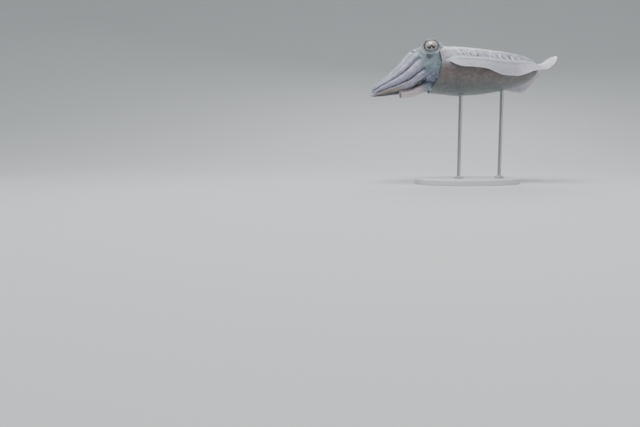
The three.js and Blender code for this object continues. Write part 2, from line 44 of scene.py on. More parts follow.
# Driving dimensions of the body, the same as the solids'
MANTLE_LENGTH = 230
MANTLE_HALF_WIDTH = 61
BACK_RISE = 45
BELLY_DROP = 53
HEAD_HALF_WIDTH = 50
HEAD_HALF_HEIGHT = 41
EYE_RADIUS = 15.5
FIN_WIDTH = 34

# How it is held: the height of the body's axis, its place along the base, and the bank that
# raises its left side
AXIS_HEIGHT = 245
BASE_CENTRE_X = 78
BANK = math.radians(21)

SIDES = {"left": -1, "right": 1}
SEED = 230


# Curves and easing on arrays
def lerp(a, b, t):
    return a + (b - a) * t


def smoothstep(x, low, high):
    t = np.clip((x - low) / (high - low), 0, 1)
    return t * t * (3 - 2 * t)


def band(x, low, full, fading, end):
    """Rises from 0 to 1 between the first two places and falls back between the last two."""
    return smoothstep(x, low, full) * (1 - smoothstep(x, fading, end))


def bell(distance, width):
    return np.exp(-((distance / width) ** 2))


def eased(knots, place):
    """A value that eases from knot to knot, where each knot is a place and its value."""
    places, values = np.array(knots, float).T
    at = np.clip(np.searchsorted(places, place), 1, len(places) - 1)
    share = smoothstep(place, places[at - 1], places[at])
    return lerp(values[at - 1], values[at], share)


def circle(count):
    """Angles that divide a full turn into equal steps."""
    return np.arange(count) / count * 2 * np.pi


def rounded(angle, power):
    """A unit rounded square or circle: power 2 is a circle, and more is squarer."""
    def squash(x):
        return np.sign(x) * np.abs(x) ** (2 / power)
    return squash(np.cos(angle)), squash(np.sin(angle))


def backness(angle):
    """1 along the back, 0.5 along the sides and 0 along the belly."""
    return 0.5 + np.arcsin(np.sin(angle)) / np.pi


def grid(shares, angles):
    """Every share with every angle, as two arrays of rows."""
    return np.meshgrid(shares, angles, indexing="ij")


def vector(x, y, z):
    return np.stack(np.broadcast_arrays(x, y, z), -1).astype(float)


def unit(v):
    return v / np.linalg.norm(v, axis=-1, keepdims=True)


def spline(points, share):
    """A centripetal Catmull-Rom curve through points, at shares from 0 to 1 of its spans."""
    points = np.array(points, float)
    ends = np.array([2 * points[0] - points[1], *points, 2 * points[-1] - points[-2]])
    spans = len(points) - 1
    place = np.clip(np.asarray(share, float), 0, 1) * spans
    span = np.minimum(place.astype(int), spans - 1)
    weight = (place - span)[..., None]
    p0, p1, p2, p3 = (ends[span + k] for k in range(4))
    d0, d1, d2 = (
        np.maximum(np.linalg.norm(b - a, axis=-1, keepdims=True) ** 0.5, 1e-4)
        for a, b in ((p0, p1), (p1, p2), (p2, p3))
    )
    start = ((p1 - p0) / d0 - (p2 - p0) / (d0 + d1) + (p2 - p1) / d1) * d1
    end = ((p2 - p1) / d1 - (p3 - p1) / (d1 + d2) + (p3 - p2) / d2) * d1
    w2, w3 = weight**2, weight**3
    return (
        (2 * w3 - 3 * w2 + 1) * p1
        + (w3 - 2 * w2 + weight) * start
        + (3 * w2 - 2 * w3) * p2
        + (w3 - w2) * end
    )


def to_row(points):
    """Millimetres in the animal's frame to metres in the row frame."""
    x, y, z = np.asarray(points, float).T
    c, s = math.cos(BANK), math.sin(BANK)
    return np.stack([x - BASE_CENTRE_X, y * c + z * s, AXIS_HEIGHT - y * s + z * c], -1) * MM


def to_animal(points):
    """Metres in the row frame to millimetres in the animal's frame."""
    x, y, z = np.asarray(points, float).T / MM
    z = z - AXIS_HEIGHT
    c, s = math.cos(BANK), math.sin(BANK)
    return np.stack([x + BASE_CENTRE_X, y * c - z * s, y * s + z * c], -1)


def sampled(kind, places, size):
    """One of Blender's noises at each place, with waves of about the given size."""
    return np.array([kind(Vector(place) / size) for place in places.tolist()])


def nearest(sources, places):
    """For each place, the index of the source nearest to it and how far that is."""
    tree = kdtree.KDTree(len(sources))
    for index, point in enumerate(sources.tolist()):
        tree.insert(point, index)
    tree.balance()
    found = [tree.find(place) for place in places.tolist()]
    return np.array([entry[1] for entry in found]), np.array([entry[2] for entry in found])


# Objects and meshes
def add_object(name, data):
    made = bpy.data.objects.new(name, data)
    bpy.context.scene.collection.objects.link(made)
    return made


def mesh_object(name, points, faces):
    """An object in the row frame whose faces point outwards."""
    points = np.asarray(points, float)
    triangles = np.array([t for f in faces for t in zip([f[0]] * (len(f) - 2), f[1:], f[2:])])
    a, b, c = (points[triangles[:, k]] for k in range(3))
    if np.einsum("ij,ij->", a, np.cross(b, c)) < 0:
        faces = [f[::-1] for f in faces]
    data = bpy.data.meshes.new(name)
    data.from_pydata(to_row(points).tolist(), [], faces)
    data.shade_smooth()
    return add_object(name, data)


def tube(rows):
    """Points and faces of a closed tube through rows of points, both ends filled with fans."""
    rows = np.asarray(rows, float)
    count, around = rows.shape[:2]
    points = [*rows.reshape(-1, 3), rows[0].mean(0), rows[-1].mean(0)]
    first, last = count * around, count * around + 1
    faces = []
    for j in range(around):
        k = (j + 1) % around
        for i in range(count - 1):
            faces.append((i * around + j, i * around + k, (i + 1) * around + k, (i + 1) * around + j))
        faces.append((first, k, j))
        faces.append((last, (count - 1) * around + j, (count - 1) * around + k))
    return np.array(points), faces


def tube_object(name, rows):
    return mesh_object(name, *tube(rows))


def ball(name, radii, axes, centre, steps=48):
    """A closed ellipsoid whose poles lie along the third axis."""
    turn = circle(steps)
    rows = []
    for k in range(1, steps // 2):
        polar = 2 * np.pi * k / steps
        ring = vector(np.cos(turn) * math.sin(polar), np.sin(turn) * math.sin(polar), math.cos(polar))
        rows.append((ring * radii) @ np.array(axes) + centre)
    points, faces = tube(rows)
    for index, sign in ((-2, 1), (-1, -1)):
        points[index] = np.array([0, 0, sign * radii[2]]) @ np.array(axes) + centre
    return mesh_object(name, points, faces)


def applied(target, name, kind, **settings):
    """The object with one modifier added and made permanent."""
    modifier = target.modifiers.new(name, kind)
    for key, value in settings.items():
        setattr(modifier, key, value)
    graph = bpy.context.evaluated_depsgraph_get()
    result = bpy.data.meshes.new_from_object(target.evaluated_get(graph))
    target.modifiers.clear()
    old, target.data = target.data, result
    bpy.data.meshes.remove(old)
    return target


def combined(target, operation, others):
    """The target joined with, or cut by, other closed objects, which are then removed."""
    operands = bpy.data.collections.new("operands")
    bpy.context.scene.collection.children.link(operands)
    for other in others:
        operands.objects.link(other)
    settings = dict(operation=operation, solver="MANIFOLD", operand_type="COLLECTION")
    applied(target, "combine", "BOOLEAN", collection=operands, **settings)
    for other in others:
        bpy.data.objects.remove(other)
    bpy.data.collections.remove(operands)
    return target


def keep_largest(made):
    """Removes the crumbs that the cuts leave beside the main shape."""
    shape = bmesh.new()
    shape.from_mesh(made.data)
    left = set(shape.verts)
    bits = []
    while left:
        bit = [left.pop()]
        for vert in bit:
            for link in vert.link_edges:
                other = link.other_vert(vert)
                if other in left:
                    left.discard(other)
                    bit.append(other)
        bits.append(bit)
    bits.sort(key=len)
    bmesh.ops.delete(shape, geom=[vert for bit in bits[:-1] for vert in bit], context="VERTS")
    shape.to_mesh(made.data)
    shape.free()


LEAST_WEIGHT = 0.03


def blend(made, weights, passes):
    """Smooths the surface by the weights."""
    group = made.vertex_groups.new(name="blend")
    for index in np.flatnonzero(weights > LEAST_WEIGHT).tolist():
        group.add([index], weights[index], "REPLACE")
    applied(made, "blend", "SMOOTH", factor=0.5, iterations=passes, vertex_group="blend")
    made.vertex_groups.clear()


def coordinates(made):
    flat = np.zeros(len(made.data.vertices) * 3, np.float32)
    made.data.vertices.foreach_get("co", flat)
    return flat.reshape(-1, 3).astype(float)


def store(made, name, values):
    """Keeps a number or a vector for each point of a mesh, for the paint to read."""
    kind, field = ("FLOAT_VECTOR", "vector") if values.ndim > 1 else ("FLOAT", "value")
    attribute = made.data.attributes.new(name, kind, "POINT")
    attribute.data.foreach_set(field, values.astype(np.float32).ravel())


# Marks that the paint reads: what each point of the skin is, carried over from the shapes
MARKS = ("back", "fin", "run", "arm", "inner", "head", "funnel", "edge", "groove")
MARK_PASSES = 4
marked_points = []
marked_values = []


def remember(points, **marks):
    """Keeps the marks of a grid of points: back is 1 along the back and 0 along the belly."""
    points = np.asarray(points, float)
    values = np.zeros((*points.shape[:-1], len(MARKS)))
    for name, value in marks.items():
        values[..., MARKS.index(name)] = value
    marked_points.append(points.reshape(-1, 3))
    marked_values.append(values.reshape(-1, len(MARKS)))


# Mantle: a deep oval, blunt at the tail, whose front margin has a lobe over the head
MANTLE_AROUND = 280
MANTLE_ALONG = 180
MANTLE_END = 0.9994
STATION_CROWDING = 1.6
MANTLE_SQUARENESS = 2.25
MANTLE_TAPER = (1.8, 0.4)
# Share of the full depth and width at the front, and where each reaches the whole
CHEST = (0.85, 0.3)
FLANK = (0.95, 0.25)
TAIL_LIFT = 4
TAIL_LIFT_START = 0.5
MARGIN_LATERAL = -5
# Reach, place from the midline and spread in degrees of each lobe of the margin
MARGIN_BACK = (-10, 0, 38)
MARGIN_CORNER = (-3, 32, 26)
MARGIN_THROAT = (-9, 0, 28)
MARGIN_FADE = 4
# Height and number of the waves along the margin, and how far each is turned by its height
MARGIN_WAVES = ((0.5, 7), (0.35, 17), (0.2, 31))
WAVE_TURN = 9
OPENING_DEPTH = 20
OPENING_STEPS = 12
# Size of the opening at its floor and at its lip, as shares of the mantle's outline
OPENING_FLOOR = 0.87
OPENING_FLARE = 0.968
LIP_STEPS = 7
LIP_DEPTH = 2
LIP_REACH = 2.51
# Painted shade on the opening's wall and on its lip
WALL_SHADE = 0.7
LIP_SHADE = 0.5


def front_margin(angle):
    back = np.abs(np.arctan2(np.cos(angle), np.sin(angle)))
    belly = np.pi - back
    reach = MARGIN_LATERAL
    for lobe, turn in ((MARGIN_BACK, back), (MARGIN_CORNER, belly), (MARGIN_THROAT, belly)):
        length, place, spread = lobe
        reach = reach + length * bell(turn - math.radians(place), math.radians(spread))
    for height, count in MARGIN_WAVES:
        reach = reach + height * np.sin(count * angle + height * WAVE_TURN)
    return reach


def mantle_point(t, angle):
    taper = (1 - t ** MANTLE_TAPER[0]) ** MANTLE_TAPER[1]
    across, up = rounded(angle, MANTLE_SQUARENESS)
    chest = lerp(CHEST[0], 1, smoothstep(t, 0, CHEST[1]))
    flank = lerp(FLANK[0], 1, smoothstep(t, 0, FLANK[1]))
    depth = np.where(up > 0, BACK_RISE, BELLY_DROP * chest)
    x = MANTLE_LENGTH * t + front_margin(angle) * (1 - t) ** MARGIN_FADE
    y = across * MANTLE_HALF_WIDTH * flank * taper
    z = up * depth * taper + TAIL_LIFT * smoothstep(t, TAIL_LIFT_START, 1)
    return vector(x, y, z)


def make_mantle():
    """Rows from the opening's floor, along its wall, round the lip and over the outside."""
    angle = circle(MANTLE_AROUND)
    x, y, z = mantle_point(0.0, angle).T
    rows = []
    for k in range(OPENING_STEPS):
        share = k / (OPENING_STEPS - 1)
        flare = lerp(OPENING_FLOOR, OPENING_FLARE, share)
        rows.append(vector(lerp(OPENING_DEPTH, x + LIP_DEPTH, share), y * flare, z * flare))
    for k in range(1, LIP_STEPS):
        turn = math.pi * k / LIP_STEPS
        flare = (1 + OPENING_FLARE - (1 - OPENING_FLARE) * math.cos(turn)) / 2
        rows.append(vector(x + LIP_DEPTH - LIP_REACH * math.sin(turn), y * flare, z * flare))
    for k in range(1, MANTLE_ALONG + 1):
        t = MANTLE_END * (1 - (1 - k / MANTLE_ALONG) ** STATION_CROWDING)
        rows.append(mantle_point(t, angle))
    rows = np.array(rows)
    # Painted shade darkens the opening's wall and lip
    shade = np.zeros(rows.shape[:2])
    shade[:OPENING_STEPS] = WALL_SHADE
    shade[OPENING_STEPS:OPENING_STEPS + LIP_STEPS] = LIP_SHADE
    remember(rows, back=backness(angle), groove=shade)
    return tube_object("mantle_skin", rows)


# Fins: a thin skirt along each flank that hangs in a wave and fans out past the tail
FIN_ALONG = 260
FIN_ACROSS = 26
FIN_SAMPLES = 801
FIN_STRIDE = 0.002
FIN_CROWDING = 1.15
FIN_START = 0.055
FIN_ROOT_ANGLE = math.radians(1)
FIN_ROOT_THICKNESS = 6.5
FIN_EDGE_THICKNESS = 1.1
FIN_THINNING = 0.7
FIN_EDGE_START = 0.94
FIN_SINK = 4
# Share of the thickness that a fin starts with, and where it reaches the whole
FIN_START_THICKNESS = (0.25, 0.09)
FIN_FILLET = 2.5
# How far the fins hang, in degrees, at places along them
FIN_DROOP = {
    "left": [(0.3, 68), (0.52, 86), (0.62, 86), (0.84, 44), (1, -40)],
    "right": [(0.15, 30), (0.42, 4), (0.62, 6), (0.82, 46), (1, -28)],
}
FIN_FRONT = (-0.01, 0.14)
FIN_GROWTH = (0.75, 0.2, 0.5)
FIN_LOBE = (0.32, 0.74, 0.96)
FIN_NOTCH = (0.55, 0.93, 1.5)
FIN_CURL = (0.75, 1.12)
# Height and number of the ripples, their start, and where the full height takes over
RIPPLES = ((0.7, 7.3), (0.5, 12.1), (0.25, 21.7))
RIPPLE_TURN = {"left": 0, "right": 0.5}
RIPPLE_START = 0.1
RIPPLE_GROWTH = (0.3, 0.45, 0.8)
FIN_TOP_BACKNESS = 0.6
FIN_UNDER_BACKNESS = 0.4
FIN_PALE_EDGE = (0.93, 0.98)


def fin_root(t):
    return mantle_point(t, FIN_ROOT_ANGLE)


def fin_width(s):
    front = np.sqrt(smoothstep(s, *FIN_FRONT))
    body = lerp(FIN_GROWTH[0], 1, smoothstep(s, *FIN_GROWTH[1:]))
    lobe = FIN_LOBE[0] * smoothstep(s, *FIN_LOBE[1:])
    notch = smoothstep(s, FIN_NOTCH[1], 1) ** FIN_NOTCH[2]
    return FIN_WIDTH * front * (body + lobe) * lerp(1, FIN_NOTCH[0], notch)


def fin_ripple(name, s):
    total = 0
    for height, count in RIPPLES:
        total = total + height * np.sin((s * count + RIPPLE_TURN[name]) * 2 * np.pi)
    growth = lerp(RIPPLE_GROWTH[0], 1, smoothstep(s, *RIPPLE_GROWTH[1:]))
    return total * growth * smoothstep(s, 0, RIPPLE_START)


def fin_half_thickness(q, s, clear):
    """Half the thickness at a share q of the fin's width, with a fillet at its root."""
    half = lerp(FIN_ROOT_THICKNESS, FIN_EDGE_THICKNESS, q**FIN_THINNING) / 2
    half = half + FIN_FILLET * np.exp(-clear / FIN_FILLET) * (1 - q)
    edge = max(0, (q - FIN_EDGE_START) / (1 - FIN_EDGE_START))
    start = lerp(FIN_START_THICKNESS[0], 1, smoothstep(s, 0, FIN_START_THICKNESS[1]))
    return half * math.sqrt(max(0, 1 - edge**2)) * start[:, None]


def make_fin(name):
    fine = np.linspace(FIN_START, MANTLE_END, FIN_SAMPLES)
    steps = np.linalg.norm(np.diff(fin_root(fine), axis=0), axis=1)
    run = np.concatenate([[0], np.cumsum(steps)])
    s = 1 - (1 - np.arange(FIN_ALONG + 1) / FIN_ALONG) ** FIN_CROWDING
    t = np.interp(s * run[-1], run, fine)
    before, after = np.maximum(FIN_START, t - FIN_STRIDE), np.minimum(MANTLE_END, t + FIN_STRIDE)
    along = unit((fin_root(after) - fin_root(before)) * (1, 1, 0))
    out = vector(-along[:, 1], along[:, 0], 0)
    up = vector(0, 0, 1)
    droop = np.radians(eased(FIN_DROOP[name], s))
    width = fin_width(s)
    reach = (width + FIN_SINK)[:, None]
    ripple = fin_ripple(name, s)
    at = fin_root(t) - out * FIN_SINK
    top, bottom, shares = [], [], []
    for j in range(FIN_ACROSS + 1):
        q = j / FIN_ACROSS
        tilt = (droop * lerp(FIN_CURL[0], FIN_CURL[1], q))[:, None]
        normal = out * np.sin(tilt) + up * np.cos(tilt)
        half = fin_half_thickness(q, s, np.maximum(0, q * reach - FIN_SINK))
        wave = normal * (ripple * q**2)[:, None]
        top.append(at + normal * half + wave)
        if j < FIN_ACROSS:
            bottom.append(at - normal * half + wave)
        shares.append(np.full(len(s), q))
        at = at + (out * np.cos(tilt) - up * np.sin(tilt)) * (reach / FIN_ACROSS)
    rows = np.stack([*top, *bottom[::-1]], 1)
    rows[..., 1] *= SIDES[name]
    share = np.stack([*shares, *shares[-2::-1]], 1)
    clear = np.clip((share * reach - FIN_SINK) / width[:, None], 0, 1)
    back = np.full(rows.shape[:2], FIN_TOP_BACKNESS)
    back[:, FIN_ACROSS + 1:] = FIN_UNDER_BACKNESS
    remember(rows, back=back, fin=clear, run=s[:, None], edge=smoothstep(clear, *FIN_PALE_EDGE))
    return tube_object("fin_skin_" + name, rows)


# Head: neck, cheeks and brow in one tube that ends in the sloping crown the arms grow from
HEAD_ALONG = 90
HEAD_AROUND = 160
HEAD_SQUARENESS = 2.3
NECK_X = OPENING_DEPTH - 0.3
NECK_BURIED = 5
NECK = (0.86, 0.45)
CROWN = (-43, 0, 3)
CROWN_TILT = math.radians(24)
CROWN_HALF_WIDTH = 42
CROWN_HALF_HEIGHT = 38
# Where along the head its outline begins to narrow to the crown, and where it begins to tilt
CROWN_START = 0.5
TILT_START = 0.25
HEAD_PATH = ((NECK_X, 0, -2), (0, 0, -2), (-22, 0, 7), CROWN)
EYE_CENTRE = (-20.5, 45, 29.5)
# How far each eye looks up, which keeps it level while the body banks, and how far forward
EYE_LIFT = {-1: math.radians(-8), 1: math.radians(24)}
EYE_FORWARD = 0.28
# Half width of the eye's opening, then its reach upwards and downwards and how square each is
OPENING_HALF_WIDTH = math.radians(69)
OPENING_UP = (math.radians(46), 2.5)
OPENING_DOWN = (math.radians(50), 2.1)
BROW_LIFT = math.radians(32)
BROW_THICKNESS = 2.4
BROW_SWELLING = 15
BROW_REACH = (6, 36)
BROW_CROWN_FADE = 0.15
BROW_REAR_FADE = (-3, 9)


def eye_centre(side):
    return np.array(EYE_CENTRE) * (1, side, 1)


def from_eye(places, side):
    return np.linalg.norm(places - eye_centre(side), axis=-1)


def eye_axes(side, lift=None):
    """Forward and upward along the head's surface, and out of the eye."""
    lift = EYE_LIFT[side] if lift is None else lift
    outward = unit(np.array([-EYE_FORWARD, side * math.cos(lift), math.sin(lift)]))
    forward, upward = np.array([-1.0, 0, 0]), np.array([0, 0, 1.0])
    forward = unit(forward - outward * (forward @ outward))
    upward = unit(upward - outward * (upward @ outward))
    return forward, upward, outward


def head_point(u, angle):
    p = [np.array(k, float) for k in HEAD_PATH]
    w = u[..., None]
    centre = (1 - w) ** 3 * p[0] + 3 * (1 - w) ** 2 * w * p[1] + 3 * (1 - w) * w**2 * p[2] + w**3 * p[3]
    neck = lerp(NECK[0], 1, smoothstep(u, 0, NECK[1]))
    crown = smoothstep(u, CROWN_START, 1)
    half_width = lerp(HEAD_HALF_WIDTH * neck, CROWN_HALF_WIDTH, crown)
    half_height = lerp(HEAD_HALF_HEIGHT * neck, CROWN_HALF_HEIGHT, crown)
    tilt = CROWN_TILT * smoothstep(u, TILT_START, 1)
    across, up = rounded(angle, HEAD_SQUARENESS)
    up = up * half_height
    point = centre + vector(-np.sin(tilt) * up, across * half_width, np.cos(tilt) * up)
    fade = smoothstep(1 - u, 0, BROW_CROWN_FADE) * smoothstep(-point[..., 0], *BROW_REAR_FADE)
    for side in SIDES.values():
        swelling = BROW_SWELLING * (1 - smoothstep(from_eye(point, side), *BROW_REACH)) * fade
        direction = np.array([0, side * math.cos(BROW_LIFT), math.sin(BROW_LIFT)])
        point = point + swelling[..., None] * direction
    return point


def make_head():
    u, angle = grid(np.linspace(0, 1, HEAD_ALONG), circle(HEAD_AROUND))
    rows = head_point(u, angle)
    remember(rows, back=backness(angle), head=1)
    return tube_object("head_skin", np.concatenate([rows[:1] + (NECK_BURIED, 0, 0), rows]))


# Eyelids: folds of the brow round the opening. Each is its distance from the opening's edge,
# its width and its height, over the upper and the lower half
FOLDS = {
    "upper": ((2.8, 2.2, 1.1), (6.8, 1.3, -0.7), (9.6, 2.0, 0.5)),
    "lower": ((1.8, 1.2, 0.6), (4.2, 1.1, -0.6), (6.8, 1.7, 0.5)),
}
LID_EDGE = 0.9
LID_WIDTH = 7
LID_BLEND = 0.35
LID_FADE = (12, 18)
BROW_STEPS = (110, 150)
BROW_POLE = 0.02
# The hollow that opens the lids: steps round it, and shares of the eye's radius and of the
# opening from inside the eyeball to its rounded end
HOLLOW_AROUND = 96
HOLLOW_WALL = (0.6, 1.8, 14)
HOLLOW_DOME = (0.9, 0.05, 12)
# The mound that the eye sits in: radii along and up the head and out of it, how deep it lies
# and how far it leans up
MOUND = (27, 22, 20)
MOUND_DEPTH = 12.5
MOUND_LIFT = math.radians(11)


def opening_angle(turn):
    """How far the opening reaches from the eye's axis, where turn runs from forward to up."""
    across, up = np.abs(np.cos(turn)), np.sin(turn)
    reach = np.where(up > 0, OPENING_UP[0], OPENING_DOWN[0])
    power = np.where(up > 0, OPENING_UP[1], OPENING_DOWN[1])
    return ((across / OPENING_HALF_WIDTH) ** power + (np.abs(up) / reach) ** power) ** (-1 / power)


def eye_ray(side, turn, polar):
    """Directions out of the eye's centre."""
    forward, upward, outward = eye_axes(side)
    turn, polar = turn[..., None], polar[..., None]
    out = np.cos(turn) * forward + np.sin(turn) * upward
    return out * np.sin(polar) + outward * np.cos(polar)


def lid_place(side, points):
    """How far outside the opening's edge points lie over the eyeball, and how far up."""
    local = points - eye_centre(side)
    ahead, up, out = (local @ axis for axis in eye_axes(side))
    turn = np.arctan2(up, ahead)
    distance = (np.arctan2(np.hypot(ahead, up), out) - opening_angle(turn)) * EYE_RADIUS
    return distance, smoothstep(np.sin(turn), -LID_BLEND, LID_BLEND)


def lid_relief(distance, upper):
    height = lerp(LID_EDGE, BROW_THICKNESS, smoothstep(distance, 0, LID_WIDTH))
    for name, share in (("upper", upper), ("lower", 1 - upper)):
        for place, width, rise in FOLDS[name]:
            height = height + share * rise * bell(distance - place, width)
    return lerp(height, BROW_THICKNESS, smoothstep(distance, *LID_FADE))


def make_brow(side):
    steps, around = BROW_STEPS
    polar, turn = grid(np.linspace(BROW_POLE, np.pi - BROW_POLE, steps), circle(around))
    rays = eye_ray(side, turn, polar)
    relief = lid_relief(*lid_place(side, eye_centre(side) + rays))
    return tube_object("brow", eye_centre(side) + rays * (EYE_RADIUS + relief)[..., None])


def make_hollow(side):
    """The opening of the lids, cut straight towards the eye's centre."""
    turn = circle(HOLLOW_AROUND)
    edge = opening_angle(turn)
    rows = [eye_ray(side, turn, edge) * reach for reach in np.linspace(*HOLLOW_WALL)]
    rows += [eye_ray(side, turn, edge * share) * HOLLOW_WALL[1] for share in np.linspace(*HOLLOW_DOME)]
    return tube_object("hollow", eye_centre(side) + np.array(rows) * EYE_RADIUS)


# Arms: eight sectors of one drooping bundle
ARM_ALONG = 130
ARM_AROUND = 40
ARM_AXIS_START = -0.25
ARM_AXIS = ((-15, 0, 6), CROWN, (-74, 0, -21), (-99, 0, -35), (-126, 0, -47), (-150, 0, -58.5))
# Each pair's stretch from the back in degrees, at its tip and its root, where it starts and
# ends along the bundle, its inner and outer reach in it, and how dark the painted shade in its two side
# grooves is
ARM_PAIRS = {
    1: dict(turns=(1, 40), root_to=40, start=-0.12, length=0.92, reach=(0.42, 1.0), grooves=(0.3, 0.5)),
    2: dict(turns=(40, 80), root_to=80, start=-0.12, length=0.96, reach=(0.42, 1.03), grooves=(0.5, 0.15)),
    3: dict(turns=(80, 122), root_to=122, start=-0.12, length=1.0, reach=(0.42, 1.0), grooves=(0.15, 0.5)),
    4: dict(turns=(122, 174), root_to=153, start=-0.2, length=0.98, reach=(0.46, 1.06), grooves=(0.5, 0.3)),
}
ARM_SQUARENESS = 3.3
# Gap between neighbours, where it opens out of the web, and the least share of its stretch
# that an arm keeps
ARM_GAP = 1.0
ARM_WEB = (0.02, 0.16)
ARM_LEAST_TURN = 0.3
ARM_CREST = 0.05
# Where an arm's round tip begins, the length of its round root, and the least of each taper
ARM_ROUNDING = (0.7, 0.02)
ROOT_ROUNDING = (0.14, 0.1)
# Reach at the root, and where an arm gains its own reach and its own stretch of the bundle
ROOT_REACH = (0.8, -0.02, 0.08)
ROOT_TURNS = (-0.05, 0.3)
# The bundle's half width, half height and tilt at its tip, and where it reaches that tilt
BUNDLE_TIP = (7, 6.5, math.radians(34), 0.6)
BUNDLE_NARROWING = 0.88
ARM_COLOR_RUN = (-0.05, 0.12)
GROOVE_SHADE_WIDTH = (0.8, 1)
INNER_FACE = (0.1, 0.8)
ARM_BACKNESS = 18
# The web: where it runs along the bundle and round it, its reach, and where that shrinks
WEB_RUN = (-0.12, 0.3, 30)
WEB_TURNS = (-179, 180, 3)
WEB_REACH = (0.97, 0.45)
WEB_SHRINK = (-0.06, 0.28)


def bundle_size(s):
    share = np.sign(s) * np.abs(s) ** BUNDLE_NARROWING
    return lerp(CROWN_HALF_WIDTH, BUNDLE_TIP[0], share), lerp(CROWN_HALF_HEIGHT, BUNDLE_TIP[1], share)


def bundle_point(s, side, turn, reach):
    """Turn is measured from the back, and reach is 1 at the bundle's outline."""
    tilt = lerp(CROWN_TILT, BUNDLE_TIP[2], smoothstep(s, 0, BUNDLE_TIP[3]))
    half_width, half_height = bundle_size(s)
    across = half_width * reach * np.sin(turn) * side
    up = half_height * reach * np.cos(turn)
    along = (s - ARM_AXIS_START) / (1 - ARM_AXIS_START)
    return spline(ARM_AXIS, along) + vector(-np.sin(tilt) * up, across, np.cos(tilt) * up)


def arm_point(arm, side, s, across, up):
    """A point of an arm's outline, where across and up lie on a rounded square from -1 to 1."""
    end = np.maximum(0, (s / arm["length"] - ARM_ROUNDING[0]) / (1 - ARM_ROUNDING[0]))
    hidden = np.maximum(0, 1 - (s - arm["start"]) / ROOT_ROUNDING[0])
    taper = np.sqrt(np.maximum(ARM_ROUNDING[1], 1 - end**2))
    taper = taper * np.sqrt(np.maximum(ROOT_ROUNDING[1], 1 - hidden**2))
    low, high = arm["turns"]
    high = lerp(arm["root_to"], high, smoothstep(s, *ROOT_TURNS))
    middle = np.radians((low + high) / 2)
    spread = np.radians((high - low) / 2) * taper
    inner, outer = arm["reach"]
    outer = lerp(ROOT_REACH[0], outer, smoothstep(s, arm["start"] + ROOT_REACH[1], ROOT_REACH[2]))
    reach = (inner + outer) / 2 + (outer - inner) / 2 * taper * up
    gap = ARM_GAP * smoothstep(s, *ARM_WEB)
    size = sum(bundle_size(s)) / 2
    half_turn = np.maximum(spread * ARM_LEAST_TURN, spread - gap / 2 / (size * reach))
    crest = ARM_CREST * np.maximum(0, up) * (1 - across**2)
    return bundle_point(s, side, middle + half_turn * across, reach + crest)


def make_arm(pair, side):
    arm = ARM_PAIRS[pair]
    s, angle = grid(np.linspace(arm["start"], arm["length"], ARM_ALONG), circle(ARM_AROUND))
    across, up = rounded(angle, ARM_SQUARENESS)
    rows = arm_point(arm, side, s, across, up)
    # Painted shade along the grooves between neighbouring arms
    groove = np.where(across < 0, *arm["grooves"]) * smoothstep(np.abs(across), *GROOVE_SHADE_WIDTH)
    remember(
        rows,
        back=1 - (sum(arm["turns"]) / 2 + across * ARM_BACKNESS) / 180,
        run=s,
        arm=smoothstep(s, *ARM_COLOR_RUN),
        inner=smoothstep(-up, *INNER_FACE),
        groove=groove * smoothstep(s, 0, ARM_COLOR_RUN[1]),
        head=1,
    )
    return tube_object("arm_skin", rows)


def make_web():
    """The membrane that joins the arms at their bases."""
    s, turn = grid(np.linspace(*WEB_RUN), np.radians(np.arange(*WEB_TURNS)))
    rows = bundle_point(s, 1, turn, lerp(*WEB_REACH, smoothstep(s, *WEB_SHRINK)))
    arm = smoothstep(s, 0, ARM_COLOR_RUN[1])
    remember(rows, back=1 - np.abs(turn) / np.pi, head=1, arm=arm)
    return tube_object("web_skin", rows)


# Funnel: a tapering tube under the head that points forwards and down
FUNNEL_PATH = ((NECK_X, 0, -17), (-12, 0, -32), (-38, 0, -44), (-62, 0, -54.5), (-83, 0, -57.5))
FUNNEL_ALONG = 90
FUNNEL_AROUND = 56
FUNNEL_STRIDE = 0.01
FUNNEL_RADIUS = (16, 8.5)
FUNNEL_NARROWING = 0.8
FUNNEL_FLATNESS = 0.85
# Folds along the funnel: depth as a share of its radius, number, and twist from end to end
FUNNEL_FOLDS = ((0.03, 5, 7), (0.018, 11, -5))
FOLD_GROWTH = (0.3, 0.8)
# Where the rim begins to flare, and by how much
FUNNEL_FLARE = (0.9, 1.1)
FUNNEL_BACKNESS = 0.3
# Shares of its length between which the head's colour gives way to the funnel's own
FUNNEL_PALING = (0.36, 0.66)
FUNNEL_BORE = 6.2
BORE_BOTTOM = 0.5
BORE_DEPTH = 0.2
BORE_STEPS = 16
BORE_EXIT = 5
BORE_PALENESS = 0.7


def funnel_rings(share, width):
    centre = spline(FUNNEL_PATH, share)
    ahead = unit(spline(FUNNEL_PATH, share + FUNNEL_STRIDE) - spline(FUNNEL_PATH, share - FUNNEL_STRIDE))
    up = vector(-ahead[:, 2], 0, ahead[:, 0])
    angle = circle(FUNNEL_AROUND)
    width = width[:, None, None]
    lift = up[:, None] * np.sin(angle)[:, None] * width * FUNNEL_FLATNESS
    return centre[:, None] + lift + vector(0, np.cos(angle), 0) * width


def make_funnel():
    share = np.linspace(0, 1, FUNNEL_ALONG)
    width = lerp(*FUNNEL_RADIUS, share**FUNNEL_NARROWING)
    width = width + FUNNEL_FLARE[1] * smoothstep(share, FUNNEL_FLARE[0], 1)
    rows = funnel_rings(share, width)
    share, angle = grid(share, circle(FUNNEL_AROUND))
    fold = sum(depth * np.sin(count * angle + twist * share) for depth, count, twist in FUNNEL_FOLDS)
    middle = rows.mean(1, keepdims=True)
    rows = middle + (rows - middle) * (1 + fold * smoothstep(share, *FOLD_GROWTH))[..., None]
    remember(rows, back=FUNNEL_BACKNESS, head=1, funnel=smoothstep(share, *FUNNEL_PALING))
    return tube_object("funnel_skin", rows)


